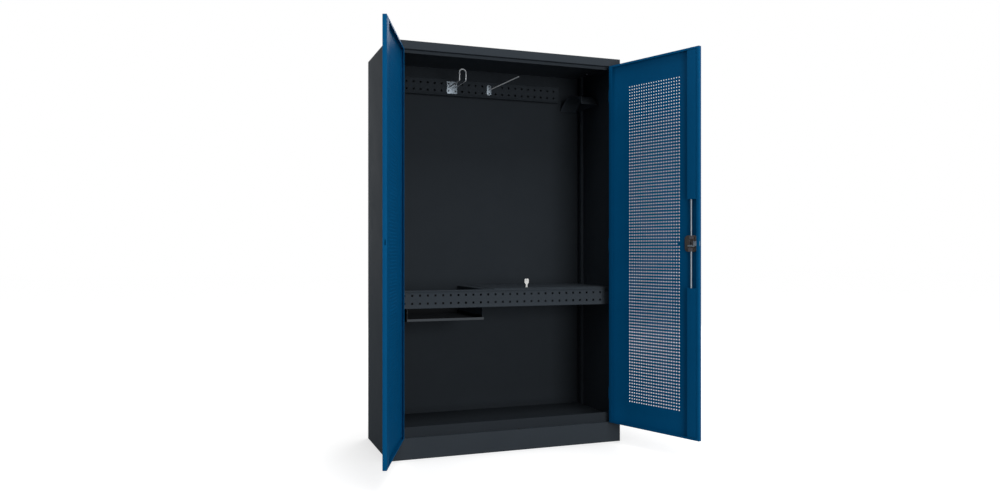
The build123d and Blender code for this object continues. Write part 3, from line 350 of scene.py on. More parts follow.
def powder_coat(name, shade, deep, roughness, specular):
    """Polyester powder, sprayed on the sheet and baked: a satin film with a fine orange peel and faint clouds
    in its depth of colour. The peel is about 1.5 mm across and drawn at 2.5 mm to show. Its gloss is low,
    because the photo shows no highlight."""
    finish, tree, output, place = new_finish(name)
    clouds = add_node(tree, "ShaderNodeTexNoise",
                      {"Vector": (place, "Object"), "Scale": 1 / CLOUD_SIZE, "Detail": 3.0, "Roughness": 0.6})
    tone = add_node(tree, "ShaderNodeMixRGB",
                    {"Fac": (clouds, "Fac"), "Color1": colour(deep), "Color2": colour(shade)})
    peel = add_node(tree, "ShaderNodeTexNoise",
                    {"Vector": (place, "Object"), "Scale": 1 / PEEL_SIZE, "Detail": 2.0, "Roughness": 0.5})
    sheen = add_node(tree, "ShaderNodeMapRange",
                     {"Value": (clouds, "Fac"), "From Min": 0.3, "From Max": 0.7,
                      "To Min": roughness - 0.04, "To Max": roughness + 0.04})
    bump = add_node(tree, "ShaderNodeBump",
                    {"Height": (peel, "Fac"), "Strength": 0.35, "Distance": PEEL_HEIGHT})
    shader = add_node(tree, "ShaderNodeBsdfPrincipled",
                      {"Base Color": (tone, "Color"), "Roughness": (sheen, "Result"),
                       "Normal": (bump, "Normal"), "Specular IOR Level": specular})
    tree.links.new(shader.outputs["BSDF"], output.inputs["Surface"])
    return finish


def lit_and_shaded_coat(name, shade, painted_shade, painted_shade_front, roughness):
    """Powder coat with its fine orange peel, lit and shaded in its colour: a grey front edge painted lighter,
    as the front light catches it, and behind that edge, from a set depth on, a matt black that paints the
    shade inside."""
    finish, tree, output, place = new_finish(name)
    depth = add_node(tree, "ShaderNodeSeparateXYZ", {"Vector": (place, "Object")})
    # Faces behind the tray's front edge take the black that paints the shade inside.
    painted_shade_mask = add_node(tree, "ShaderNodeMath", {0: (depth, "Y"), 1: painted_shade_front}, operation="GREATER_THAN")
    peel = add_node(tree, "ShaderNodeTexNoise",
                    {"Vector": (place, "Object"), "Scale": 1 / PEEL_SIZE, "Detail": 2.0, "Roughness": 0.5})
    tone = add_node(tree, "ShaderNodeMixRGB",
                    {"Fac": (painted_shade_mask, "Value"), "Color1": colour(shade), "Color2": colour(painted_shade)})
    speckled = add_node(tree, "ShaderNodeMixRGB",
                        {"Fac": 0.15, "Color1": (tone, "Color"), "Color2": (peel, "Color")},
                        blend_type="MULTIPLY")
    bump = add_node(tree, "ShaderNodeBump",
                    {"Height": (peel, "Fac"), "Strength": 0.35, "Distance": PEEL_HEIGHT})
    shader = add_node(tree, "ShaderNodeBsdfPrincipled",
                      {"Base Color": (speckled, "Color"), "Roughness": roughness, "Normal": (bump, "Normal"),
                       "Specular IOR Level": 0.04})
    tree.links.new(shader.outputs["BSDF"], output.inputs["Surface"])
    return finish


def plated_metal(name, shade, deep, roughness, cloud_size=6.0 * MM, metal=1.0):
    """Metal with a plated, converted or cast skin, slightly cloudy. A skin of fine crystals scatters much of
    its light, which a metallic value under 1 gives, so it isn't all mirror."""
    finish, tree, output, place = new_finish(name)
    cloud = add_node(tree, "ShaderNodeTexNoise",
                     {"Vector": (place, "Object"), "Scale": 1 / cloud_size, "Detail": 3.0, "Roughness": 0.55})
    tone = add_node(tree, "ShaderNodeMixRGB",
                    {"Fac": (cloud, "Fac"), "Color1": colour(deep), "Color2": colour(shade)})
    sheen = add_node(tree, "ShaderNodeMapRange",
                     {"Value": (cloud, "Fac"), "From Min": 0.3, "From Max": 0.7,
                      "To Min": roughness - 0.06, "To Max": roughness + 0.06})
    bump = add_node(tree, "ShaderNodeBump",
                    {"Height": (cloud, "Fac"), "Strength": 0.15, "Distance": PLATE_MARK_HEIGHT})
    shader = add_node(tree, "ShaderNodeBsdfPrincipled",
                      {"Base Color": (tone, "Color"), "Roughness": (sheen, "Result"),
                       "Normal": (bump, "Normal"), "Metallic": metal})
    tree.links.new(shader.outputs["BSDF"], output.inputs["Surface"])
    return finish


def moulded_plastic(name, shade, deep, roughness):
    """Nylon from a spark-eroded mould: near matt, with a grain of about 0.5 mm, drawn at 0.9 mm to show."""
    finish, tree, output, place = new_finish(name)
    grain = add_node(tree, "ShaderNodeTexNoise",
                     {"Vector": (place, "Object"), "Scale": 1 / SPARK_GRAIN_SIZE, "Detail": 2.0,
                      "Roughness": 0.6})
    tone = add_node(tree, "ShaderNodeMixRGB",
                    {"Fac": (grain, "Fac"), "Color1": colour(deep), "Color2": colour(shade)})
    bump = add_node(tree, "ShaderNodeBump",
                    {"Height": (grain, "Fac"), "Strength": 0.4, "Distance": SPARK_GRAIN_HEIGHT})
    shader = add_node(tree, "ShaderNodeBsdfPrincipled",
                      {"Base Color": (tone, "Color"), "Roughness": roughness, "Normal": (bump, "Normal"),
                       "Specular IOR Level": 0.35})
    tree.links.new(shader.outputs["BSDF"], output.inputs["Surface"])
    return finish


# Body outside and doors, and for the body's inside a darker copy of the same anthracite: painted shade,
# standing in for the shade inside the cabinet
anthracite = powder_coat("anthracite_powder_coat", "#3a4046", "#353b41", 0.62, 0.04)
blue = powder_coat("gentian_blue_powder_coat", "#005687", "#004f7d", 0.55, 0.06)
painted_shade_anthracite = powder_coat("painted_shade_anthracite_powder_coat", "#2f3439", "#2a2f34", 0.66, 0.03)

# Tray: painted light and shade in one coat, a lit grey along its front edge and a painted-shade black inside
TRAY_PAINTED_SHADE_FRONT = -192.5 * MM
lit_and_shaded_tray_grey = lit_and_shaded_coat("lit_and_shaded_tray_powder_coat", "#4c5054", "#17191b", TRAY_PAINTED_SHADE_FRONT, 0.66)

# Zinc, plated in a bath: bright on small parts, pale and soft on the passivated wires, dull grey on the rods
zinc = plated_metal("bright_zinc_plate", "#cdd3d8", "#b6bdc3", 0.42, metal=0.6)
wire_zinc = plated_metal("passivated_zinc_wire", "#e2e5e8", "#d0d5d9", 0.45, metal=0.3)
dull_zinc = plated_metal("dull_zinc_plate", "#9aa5ae", "#84909a", 0.5, metal=0.5)

# Nickel on the lock cylinder, plated over polished brass: the one bright metal, in wider clouds
nickel = plated_metal("nickel_plate", "#e6e5e0", "#d8d6d0", 0.26, cloud_size=12.0 * MM)

# Zinc cast under pressure and left as cast: a warm dark grey skin, nearly matt
die_cast = plated_metal("die_cast_zinc", "#5a5450", "#494440", 0.55, metal=0.35)

# Steel dipped in phosphate, a mid grey crystal skin, and steel blackened in hot oxide, near black with a low
# sheen
phosphated = plated_metal("phosphated_steel", "#6a666a", "#565356", 0.55, metal=0.35)
black_oxide = plated_metal("black_oxide_steel", "#2b2c2e", "#1d1e20", 0.42, metal=0.5)

# Nylon: black and glass-filled for the handle and guides, natural white for the small key-shaped piece
nylon = moulded_plastic("black_nylon", "#17181a", "#0e0f10", 0.55)
white_nylon = moulded_plastic("white_nylon", "#f4f4f1", "#e9e9e5", 0.5)

FINISH_OF_SLOT = {"body_paint": anthracite, "door_paint": blue, "tray_paint": lit_and_shaded_tray_grey,
                  "zinc_plate": zinc, "case_grey": die_cast, "black_plastic": nylon,
                  "cylinder_metal": nickel}
# The back panel, floor pan and upper rail take the darker anthracite copy, as painted shade.
OWN_FINISH = {"back_panel": painted_shade_anthracite, "floor_pan": painted_shade_anthracite, "upper_rail": painted_shade_anthracite,
              "double_hook_plate": dull_zinc, "single_hook_plate": dull_zinc, "double_hook_wire": wire_zinc,
              "single_hook_pin": wire_zinc, "hook_screws": black_oxide, "shelf_key": white_nylon,
              "latch_bolt": dull_zinc, "rod_upper": dull_zinc, "rod_lower": dull_zinc,
              "rack_upper": phosphated, "rack_lower": phosphated, "pinion": phosphated,
              "spindle": black_oxide}
SLOT_OF_NODE = {row["node"]: row["material_slot"] for row in frame["record"]["subparts"]}
BODY_OF_NODE = {node: body for body, nodes in frame["record"]["behaviour"]["bodies"].items()
                for node in nodes}
REPLACED = set()


# Door skins: one pierced cell, repeated over the field, then drawn out and folded into a pan

def perforated_field():
    """Flat sheet of square holes, centred on the closed right door's face."""
    deselect()
    left = (DOOR_FREE + DOOR_EDGE) / 2 - (HOLE_COLUMNS - 1) / 2 * HOLE_PITCH
    low = DOOR_MIDDLE - (HOLE_ROWS - 1) / 2 * HOLE_PITCH
    bpy.ops.mesh.primitive_plane_add(size=HOLE_PITCH, location=(left, FRONT, low),
                                     rotation=(math.radians(90), 0, 0))
    field = bpy.context.object
    settle(field)
    bpy.ops.object.mode_set(mode="EDIT")
    bpy.ops.mesh.select_mode(type="FACE")
    bpy.ops.mesh.select_all(action="SELECT")
    bpy.ops.mesh.inset(thickness=(HOLE_PITCH - HOLE_SIZE) / 2)
    bpy.ops.mesh.delete(type="FACE")
    leave_edit()
    for count, step in ((HOLE_COLUMNS, (HOLE_PITCH, 0, 0)), (HOLE_ROWS, (0, 0, HOLE_PITCH))):
        add_modifier(field, "ARRAY", count=count, use_relative_offset=False, use_constant_offset=True,
                     constant_offset_displace=step, use_merge_vertices=True, merge_threshold=WELD_DISTANCE)
    return field


def door_pan(name):
    """Closed right door: the perforated sheet with its folded rim and return lips."""
    pan = perforated_field()
    pan.name = name
    for axis, end, target in ((0, min, DOOR_FREE), (0, max, DOOR_EDGE),
                              (2, min, DOOR_BOTTOM), (2, max, DOOR_TOP)):
        start = end(vertex.co[axis] for vertex in pan.data.vertices)
        move = Vector((0, 0, 0))
        move[axis] = target - start
        draw_out(pan, lambda c, d: near(c[axis], start) and abs(d[2 - axis]) > 0.9, move)
    draw_out(pan, lambda c, d: on_outline(c) and near(c.y, FRONT), (0, DOOR_THICKNESS, 0))
    back = FRONT + DOOR_THICKNESS
    draw_out(pan, lambda c, d: near(c.y, back) and abs(d.y) < 0.5, (0, 0, 0))
    draw_lips_in(pan, back)
    round_edges(pan, fold_edge, DOOR_BEND, 3)
    add_modifier(pan, "SOLIDIFY", thickness=DOOR_SHEET, offset=-1, use_even_offset=True, use_rim=True)
    smooth(pan, 30)
    return pan


def on_side(place):
    return near(place.x, DOOR_FREE) or near(place.x, DOOR_EDGE)


def on_end(place):
    return near(place.z, DOOR_BOTTOM) or near(place.z, DOOR_TOP)


def on_outline(place):
    return on_side(place) or on_end(place)


def fold_edge(centre, direction):
    """True on the two fold lines that run round the door and on its four short corners."""
    on_plane = near(centre.y, FRONT) or near(centre.y, FRONT + DOOR_THICKNESS)
    along = abs(direction.z if on_side(centre) else direction.x) > 0.99
    corner = on_side(centre) and on_end(centre) and abs(direction.y) > 0.99
    return (on_outline(centre) and on_plane and along) or corner


def draw_lips_in(pan, back):
    """Moves the freshly drawn loop of the rim inwards, by a different lip on each side."""
    mesh = pan.data
    faces_at = Counter(key for face in mesh.polygons for key in face.edge_keys)
    loose = {i for key, count in faces_at.items() if count == 1 for i in key
             if near(mesh.vertices[i].co.y, back)}
    for i in loose:
        place = mesh.vertices[i].co
        if near(place.x, DOOR_FREE):
            place.x += FREE_LIP
        elif near(place.x, DOOR_EDGE):
            place.x -= HINGE_LIP
        if near(place.z, DOOR_BOTTOM):
            place.z += END_LIP
        elif near(place.z, DOOR_TOP):
            place.z -= END_LIP
    mesh.update()


def door_skins():
    """The right pan has the latch's slot and the rods' holes, the left one the slot that takes the latch."""
    right = door_pan("door_pan_right")
    plain = copied(right)
    cut(right, add_block("latch_slot", *LATCH_SLOT))
    cut(plain, add_block("strike_slot", *LATCH_SLOT))
    for level in (DOOR_BOTTOM, DOOR_TOP):
        cut(right, add_block("guide_hole",
                             (ROD_X - GUIDE_HOLE_HALF, ROD_Y - GUIDE_HOLE_HALF, level - GUIDE_HOLE_REACH),
                             (ROD_X + GUIDE_HOLE_HALF, ROD_Y + GUIDE_HOLE_HALF, level + GUIDE_HOLE_REACH)))
    swing_open(right)
    swing_open(plain)
    left = mirrored(plain, "door_pan_left")
    bpy.data.objects.remove(plain)
    stand_for(right, "door_skin_right")
    stand_for(left, "door_skin_left")


# Hooks on the upper rail: round wire and pin, plates with screws. The wire leaves its plate, reaches forward,
# rises, loops over and comes back the same way. The pin has a short neck and then leans up and to the right.

RAIL_FRONT = 204 * MM
RAIL_LEVEL = 1840 * MM
DOUBLE_X = -160 * MM
SINGLE_X = 49 * MM
DOUBLE_PLATE = (57 * MM, 65 * MM, 4 * MM)
SINGLE_PLATE = (26 * MM, 55 * MM, 12.4 * MM)
PLATE_SHEET = 2 * MM
WIRE_RADIUS = 2.75 * MM
WIRE_BEND = 8 * MM
WIRE_REACH = 182 * MM
WIRE_RISE = 33 * MM
LOOP_RADIUS = 17 * MM
PIN_RADIUS = 2.9 * MM
PIN_NECK = 14 * MM
PIN_WAY = Vector((103, -168, 46)) * MM
PIN_TIP = 1.5 * MM
SCREW_STEP = 19 * MM
SCREW_RADIUS = 4.4 * MM
SCREW_HEIGHT = 2.4 * MM
SOCKET_RADIUS = 2.5 * MM
SOCKET_FLOOR = 0.7 * MM
PLATE_EDGE = 0.4 * MM
PIN_EDGE = 1.2 * MM
SCREW_DOME = 1.6 * MM


def hook_plate(name, x, width, height, corner):
    """Pressed plate with rounded corners and a softly broken edge."""
    plate = add_block(name, (x - width / 2, RAIL_FRONT, RAIL_LEVEL - height / 2),
                      (x + width / 2, RAIL_FRONT + PLATE_SHEET, RAIL_LEVEL + height / 2))
    round_edges(plate, lambda c, d: abs(d.y) > 0.9, corner, 8)
    soften(plate, PLATE_EDGE)
    return plate


def button_screw(name, x, z):
    """Low domed head with a hexagon socket."""
    top = RAIL_FRONT - SCREW_HEIGHT
    head = add_bar(name, (x, RAIL_FRONT, z), (x, top, z), SCREW_RADIUS, 28)
    round_edges(head, lambda c, d: near(c.y, top), SCREW_DOME, 4)
    cut(head, add_bar("socket", (x, top - MM, z), (x, RAIL_FRONT - SOCKET_FLOOR, z), SOCKET_RADIUS, 6))
    smooth(head)
    return head


def hooks():
    """A wire bent to a double hook and a leaning pin, each on its plate, and the screws of both."""
    stand_for(hook_plate("double_hook_backplate", DOUBLE_X, *DOUBLE_PLATE), "double_hook_plate")
    stand_for(hook_plate("single_hook_backplate", SINGLE_X, *SINGLE_PLATE), "single_hook_plate")
    forward, back, up, right = (0, -1, 0), (0, 1, 0), (0, 0, 1), (1, 0, 0)
    wire = bent_bar("double_hook_bent_wire", (DOUBLE_X - LOOP_RADIUS, RAIL_FRONT, RAIL_LEVEL), forward,
                    WIRE_RADIUS,
                    (("run", WIRE_REACH), ("turn", up, WIRE_BEND, 90), ("run", WIRE_RISE),
                     ("turn", right, LOOP_RADIUS, 180),
                     ("run", WIRE_RISE), ("turn", back, WIRE_BEND, 90), ("run", WIRE_REACH)))
    stand_for(wire, "double_hook_wire")

    lean = math.degrees(PIN_WAY.angle(Vector(forward)))
    tangent = WIRE_BEND * math.tan(math.radians(lean / 2))
    pin = bent_bar("single_hook_round_pin", (SINGLE_X, RAIL_FRONT, RAIL_LEVEL), forward, PIN_RADIUS,
                   (("run", PIN_NECK - tangent), ("turn", (PIN_WAY.x, 0, PIN_WAY.z), WIRE_BEND, lean),
                    ("run", PIN_WAY.length - tangent - PIN_TIP)))
    axis = PIN_WAY.normalized()
    tip = max(pin.data.polygons, key=lambda face: face.center.x).center.copy()
    round_edges(pin, lambda c, d: (c - tip).length < 1.1 * PIN_RADIUS and abs(d.dot(axis)) < 0.5, PIN_EDGE, 3)
    smooth(pin, 40)
    stand_for(pin, "single_hook_pin")

    places = [(DOUBLE_X + i * SCREW_STEP, RAIL_LEVEL + k * SCREW_STEP) for i in (-1, 1) for k in (-1, 1)]
    places += [(SINGLE_X, RAIL_LEVEL + k * SCREW_STEP) for k in (-1, 1)]
    (first_x, first_z), others = places[0], places[1:]
    first = button_screw("screw_head", first_x, first_z)
    heads = [first] + [copied(first, (x - first_x, 0, z - first_z)) for x, z in others]
    stand_for(join(heads, "hook_button_screws"), "hook_screws")


# Hinges: round knuckles on their leaves, with the pins that carry the doors. The frame's half is below.

HINGE_LEVELS = (252.5 * MM, 1005 * MM, 1757.5 * MM)
FRAME_LEAF_X = 548.8 * MM
LEAF_SHEET = 1.2 * MM
LEAF_HALF = 30 * MM
LEAF_SET_BACK = 0.3 * MM
NECK_DEPTH = 2 * MM
HINGE_GAP_HALF = 0.15 * MM
BARREL_RADIUS = 4 * MM
BORE_RADIUS = 2.55 * MM
HINGE_PIN_RADIUS = 2.5 * MM
HINGE_PIN_TOP = 29 * MM
KNUCKLE_EDGE = 0.4 * MM
HINGE_PIN_EDGE = 0.8 * MM


def hinge_leaf(x, low, high, bored):
    """Leaf of the lowest right hinge with its neck and round knuckle, which covers half of its height."""
    level = HINGE_LEVELS[0]
    leaf = add_block("leaf", (x, FRONT + LEAF_SET_BACK, level - LEAF_HALF),
                     (x + LEAF_SHEET, FRONT + DOOR_THICKNESS, level + LEAF_HALF))
    fuse(leaf, add_block("neck", (x, PIVOT.y, low), (x + LEAF_SHEET, FRONT + NECK_DEPTH, high)))
    knuckle = add_bar("knuckle", (PIVOT.x, PIVOT.y, low), (PIVOT.x, PIVOT.y, high), BARREL_RADIUS, 40)
    soften(knuckle, KNUCKLE_EDGE)
    fuse(leaf, knuckle)
    if bored:
        cut(leaf, add_bar("bore", (PIVOT.x, PIVOT.y, low - MM), (PIVOT.x, PIVOT.y, high + MM), BORE_RADIUS))
    smooth(leaf)
    return leaf


def hinges():
    """Three hinges in a row for each door. The door's leaves are swung open with it."""
    first = HINGE_LEVELS[0]
    low, high = first - HINGE_GAP_HALF, first + HINGE_GAP_HALF
    frame_leaf = hinge_leaf(FRAME_LEAF_X, first - LEAF_HALF, low, False)
    door_leaf = hinge_leaf(DOOR_EDGE, high, first + LEAF_HALF, True)
    pin = add_bar("pin", (PIVOT.x, PIVOT.y, low), (PIVOT.x, PIVOT.y, first + HINGE_PIN_TOP), HINGE_PIN_RADIUS)
    soften(pin, HINGE_PIN_EDGE, 3)
    for piece, node in ((frame_leaf, "hinge_frame_leaves"), (door_leaf, "hinge_door_leaves"),
                        (pin, "hinge_pins")):
        others = [copied(piece, (0, 0, level - first)) for level in HINGE_LEVELS[1:]]
        row = join([piece] + others, node + "_round_right")
        if node == "hinge_door_leaves":
            swing_open(row)
        smooth(row)
        left = mirrored(row, node + "_round_left")
        stand_for(row, node + "_right")
        stand_for(left, node + "_left")


# Handle: moulded rose and a lever that tapers from its round hub

ROSE_FACE = FRONT - 4 * MM
ROSE_HALF = 21 * MM
ROSE_BELOW = 78 * MM
ROSE_ABOVE = 40 * MM
ROSE_CORNER = 20 * MM
ROSE_EDGE = 1.5 * MM
SPINDLE_BORE = 5.1 * MM
HUB_BASE = ROSE_FACE - 0.3 * MM
HUB_FACE = HUB_BASE - 22 * MM
HUB_RADIUS = 15 * MM
HUB_EDGE = 2 * MM
LEVER_Y = HUB_FACE + 7 * MM
LEVER_START = ROD_X + 4 * MM
LEVER_END = ROD_X + 92 * MM
LEVER_HALF_DEPTH = 5 * MM
LEVER_HALF_WIDTH = 10 * MM
LEVER_TAPER = (1, 0.8, 0.7)
LEVER_ROUNDING = 3.2 * MM
SEAT_RADIUS = 8 * MM
SEAT_DEPTH = 16 * MM
SPINDLE_RADIUS = 5 * MM
SPINDLE_DEPTH = 5 * MM


def rose():
    """Flat plate with round ends, bored for the spindle."""
    plate = add_block("rose_moulding", (ROD_X - ROSE_HALF, ROSE_FACE, DOOR_MIDDLE - ROSE_BELOW),
                      (ROD_X + ROSE_HALF, FRONT, DOOR_MIDDLE + ROSE_ABOVE))
    round_edges(plate, lambda c, d: abs(d.y) > 0.9, ROSE_CORNER, 12)
    round_edges(plate, lambda c, d: near(c.y, ROSE_FACE), ROSE_EDGE, 3)
    cut(plate, add_bar("spindle_bore", (ROD_X, ROSE_FACE - MM, DOOR_MIDDLE), (ROD_X, FRONT + MM, DOOR_MIDDLE),
                       SPINDLE_BORE))
    smooth(plate)
    swing_open(plate)
    stand_for(plate, "handle_plate")


def lever():
    """Lever that tapers towards the hinge side, with the seat for the cylinder in the face of its hub."""
    grip = add_block("lever_moulding",
                     (LEVER_START, LEVER_Y - LEVER_HALF_DEPTH, DOOR_MIDDLE - LEVER_HALF_WIDTH),
                     (LEVER_END, LEVER_Y + LEVER_HALF_DEPTH, DOOR_MIDDLE + LEVER_HALF_WIDTH))
    select_where(grip, "FACE", lambda c, n: n.x > 0.9)
    bpy.ops.transform.resize(value=LEVER_TAPER, center_override=(LEVER_END, LEVER_Y, DOOR_MIDDLE))
    leave_edit()
    soften(grip, LEVER_ROUNDING, 5)
    hub = add_bar("hub", (ROD_X, HUB_BASE, DOOR_MIDDLE), (ROD_X, HUB_FACE, DOOR_MIDDLE), HUB_RADIUS, 48)
    round_edges(hub, lambda c, d: near(c.y, HUB_FACE), HUB_EDGE, 4)
    fuse(grip, hub)
    cut(grip, add_bar("cylinder_seat", (ROD_X, HUB_FACE - MM, DOOR_MIDDLE),
                      (ROD_X, HUB_FACE + SEAT_DEPTH, DOOR_MIDDLE), SEAT_RADIUS, 40))
    cut(grip, add_bar("spindle_socket", (ROD_X, HUB_BASE + MM, DOOR_MIDDLE),
                      (ROD_X, HUB_BASE - SPINDLE_DEPTH, DOOR_MIDDLE), SPINDLE_RADIUS))
    smooth(grip)
    swing_open(grip)
    stand_for(grip, "handle_grip")


# Uprights: one slotted cell, repeated down the wall, then drawn out into a channel

UPRIGHT_FACE = 586.5 * MM
WALL = 598.5 * MM
CEILING = 1948.5 * MM
FLOOR_LEVEL = 112 * MM
UPRIGHT_MIDDLE = -159 * MM
UPRIGHT_HALF = 11 * MM
UPRIGHT_SHEET = 1.5 * MM
UPRIGHT_BEND = 1.2 * MM
REAR_UPRIGHT_STEP = 345 * MM
SLOT_STEP = 30 * MM
SLOT_COUNT = 60
SLOT_MARGIN = 5 * MM
SLOT_NARROWING = (1, 0.5, 1)
TOP_SLOT = CEILING - 16.5 * MM


def slotted_strip(name):
    """Flat strip on the right front upright's face with all its slots."""
    deselect()
    middle = (UPRIGHT_FACE, UPRIGHT_MIDDLE, TOP_SLOT)
    bpy.ops.mesh.primitive_plane_add(size=1, location=middle, rotation=(0, math.radians(-90), 0))
    strip = bpy.context.object
    strip.name = name
    strip.scale = (SLOT_STEP, 2 * UPRIGHT_HALF, 1)
    settle(strip)
    bpy.ops.object.mode_set(mode="EDIT")
    bpy.ops.mesh.select_mode(type="FACE")
    bpy.ops.mesh.select_all(action="SELECT")
    bpy.ops.mesh.inset(thickness=SLOT_MARGIN)
    bpy.ops.transform.resize(value=SLOT_NARROWING, center_override=middle)
    bpy.ops.mesh.delete(type="FACE")
    leave_edit()
    add_modifier(strip, "ARRAY", count=SLOT_COUNT, use_relative_offset=False, use_constant_offset=True,
                 constant_offset_displace=(0, 0, -SLOT_STEP), use_merge_vertices=True,
                 merge_threshold=WELD_DISTANCE)
    return strip


def long_edge(centre, direction):
    """True on the strip's two long sides, and on what is drawn out of them."""
    return near(abs(centre.y - UPRIGHT_MIDDLE), UPRIGHT_HALF) and abs(direction.z) > 0.9


def uprights():
    """Right uprights at two depths, and their twins on the left wall."""
    front = slotted_strip("upright_front_right_slotted")
    strip_top = TOP_SLOT + SLOT_STEP / 2
    strip_bottom = strip_top - SLOT_COUNT * SLOT_STEP
    for end, target in ((strip_top, CEILING), (strip_bottom, FLOOR_LEVEL)):
        draw_out(front, lambda c, d: near(c.z, end) and abs(d.y) > 0.9, (0, 0, target - end))
    draw_out(front, long_edge, (WALL - UPRIGHT_FACE, 0, 0))
    round_edges(front, lambda c, d: near(c.x, UPRIGHT_FACE) and long_edge(c, d), UPRIGHT_BEND, 3)
    add_modifier(front, "SOLIDIFY", thickness=UPRIGHT_SHEET, offset=-1, use_even_offset=True, use_rim=True)
    smooth(front, 30)
    rear = copied(front, (0, REAR_UPRIGHT_STEP, 0))
    rear.name = "upright_rear_right_slotted"
    for piece, where in ((front, "front"), (rear, "rear")):
        left = mirrored(piece, f"upright_{where}_left_slotted")
        stand_for(piece, f"upright_{where}_right")
        stand_for(left, f"upright_{where}_left")


# Pieces whose solids already have their form: merged copies with smooth bends and, on five, broken edges

SMOOTHED = ("side_panel_right", "side_panel_left", "top_panel", "floor_pan", "plinth_front", "upper_rail",
            "middle_rail", "shelf", "partition", "tray", "rod_channel_upper", "rod_channel_lower",
            "door_stiffener_left", "saddle_arch", "rod_upper", "rod_lower", "lock_cylinder", "cylinder_plug",
            "spindle", "shelf_key")
BROKEN = {"lock_case": 1.2 * MM, "latch_bolt": 0.3 * MM, "strike_bush_upper": 0.8 * MM,
          "strike_bush_lower": 0.8 * MM, "saddle_plate": 0.3 * MM}
KEY_NARROWING = (0.74, 1, 1)
COPY_WELD_DISTANCE = 0.005 * MM
FLAT_ANGLE = math.radians(0.5)


def finished_copy(node, width):
    """A merged copy of a solid, with its edges broken by a width, or only its bends smooth if that is 0."""
    pick(frame["nodes"][node])
    bpy.ops.object.duplicate()
    piece = bpy.context.object
    piece.name = node + "_finished"
    piece.parent = None
    for key in list(piece.keys()):
        del piece[key]
    bpy.ops.object.mode_set(mode="EDIT")
    bpy.ops.mesh.select_all(action="SELECT")
    bpy.ops.mesh.remove_doubles(threshold=COPY_WELD_DISTANCE)
    bpy.ops.mesh.dissolve_limited(angle_limit=FLAT_ANGLE)
    leave_edit()
    if width:
        soften(piece, width)
    else:
        smooth(piece)
    return piece


def narrow_key(key):
    """The key-shaped piece is narrower in the photo than its solid."""
    low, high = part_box("shelf_key")
    select_where(key, "FACE", lambda c, n: True)
    bpy.ops.transform.resize(value=KEY_NARROWING, center_override=[(a + b) / 2 for a, b in zip(low, high)])
    leave_edit()


def finish_solids():
    """Smooths the solids that show their bends. The others stay as they are and take their finish."""
    for node in sorted(frame["nodes"]):
        if node in REPLACED:
            continue
        if node in SMOOTHED or node in BROKEN:
            piece = finished_copy(node, BROKEN.get(node, 0))
            if node == "shelf_key":
                narrow_key(piece)
            stand_for(piece, node)
            continue
        source = frame["nodes"][node]
        if source.material_slots:
            for slot in source.material_slots:
                slot.material = finish_of(node)
        else:
            source.data.materials.append(finish_of(node))


# Studio

FLOOR_SIZE = 60
SHADE_REACH = 0.5


def studio_floor():
    """Plain floor, white to the eye and matt grey to the light. Its glow is painted darker where the base is
    near, as a painted soft shadow, because the lit floor is past white."""
    deselect()
    bpy.ops.mesh.primitive_plane_add(size=FLOOR_SIZE, location=(0, 0, 0))
    floor = bpy.context.object
    floor.name = "studio_floor"
    finish, tree, output, _ = new_finish("pale_studio_floor")
    path = add_node(tree, "ShaderNodeLightPath")
    # Painted shadow: the floor's glow darkens where the object is near.
    painted_shadow_occlusion = add_node(tree, "ShaderNodeAmbientOcclusion", {"Distance": SHADE_REACH}, samples=16)
    tone = add_node(tree, "ShaderNodeMixRGB",
                    {"Fac": (painted_shadow_occlusion, "AO"), "Color1": colour("#b0b0b0"), "Color2": colour("#f0f0f0")})
    matt = add_node(tree, "ShaderNodeBsdfDiffuse", {"Color": colour("#bcbcbc")})
    white = add_node(tree, "ShaderNodeEmission", {"Color": (tone, "Color"), "Strength": 1.0})
    seen = add_node(tree, "ShaderNodeAddShader", {0: (white, "Emission"), 1: (matt, "BSDF")})
    dull = add_node(tree, "ShaderNodeBsdfDiffuse", {"Color": colour("#a5a5a5")})
    mix = add_node(tree, "ShaderNodeMixShader",
                   {0: (path, "Is Camera Ray"), 1: (dull, "BSDF"), 2: (seen, "Shader")})
    tree.links.new(mix.outputs["Shader"], output.inputs["Surface"])
    floor.data.materials.append(finish)


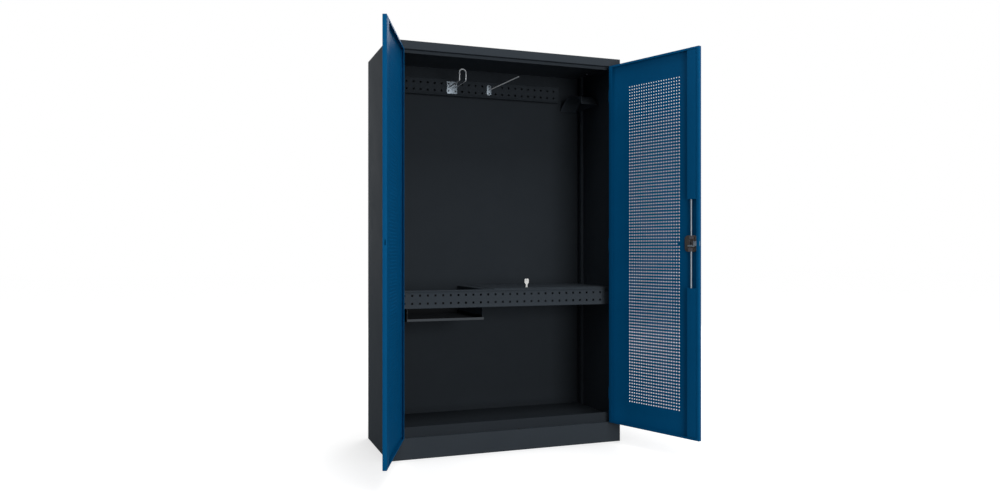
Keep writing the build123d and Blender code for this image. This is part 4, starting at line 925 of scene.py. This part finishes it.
def studio_world():
    """White to the eye and in reflections, and a plain soft light on the object."""
    world = bpy.data.worlds.new("studio")
    bpy.context.scene.world = world
    world.use_nodes = True
    tree = world.node_tree
    tree.nodes.clear()
    output = add_node(tree, "ShaderNodeOutputWorld")
    path = add_node(tree, "ShaderNodeLightPath")
    direct = add_node(tree, "ShaderNodeMath", {0: (path, "Is Camera Ray"), 1: (path, "Is Glossy Ray")},
                      operation="MAXIMUM")
    seen = add_node(tree, "ShaderNodeMath", {0: (direct, "Value"), 1: (path, "Is Transmission Ray")},
                    operation="MAXIMUM")
    white = add_node(tree, "ShaderNodeBackground", {"Color": colour("#ffffff"), "Strength": 1.0})
    soft = add_node(tree, "ShaderNodeBackground", {"Color": colour("#ffffff"), "Strength": 0.25})
    mix = add_node(tree, "ShaderNodeMixShader",
                   {0: (seen, "Value"), 1: (soft, "Background"), 2: (white, "Background")})
    tree.links.new(mix.outputs["Shader"], output.inputs["Surface"])


# Each lamp's name, place, target, size in metres and power in watts. The rear one is for views from behind.
LAMPS = (
    ("front_softbox", (0.6, -7.2, 1.2), (0, -0.25, 1.0), (2.6, 2.6), 215),
    ("high_softbox", (0.4, -3.4, 5.9), (0, -0.25, 1.0), (3.0, 2.4), 120),
    ("left_softbox", (-5.5, -0.8, 1.8), (-0.6, 0, 1.0), (2.0, 2.6), 45),
    ("rear_softbox", (3.6, 5.2, 2.6), (0.2, 0.2, 1.0), (3.0, 3.0), 150),
)


def soft_lamp(name, place, target, size, power):
    """A rectangular softbox that faces its target."""
    deselect()
    bpy.ops.object.light_add(type="AREA", location=place)
    lamp = bpy.context.object
    lamp.name = name
    lamp.data.shape = "RECTANGLE"
    lamp.data.size, lamp.data.size_y = size
    lamp.data.energy = power
    lamp.rotation_euler = (Vector(target) - Vector(place)).to_track_quat("-Z", "Y").to_euler()


door_skins()
hooks()
hinges()
rose()
lever()
uprights()
finish_solids()
studio_floor()
studio_world()
for lamp in LAMPS:
    soft_lamp(*lamp)
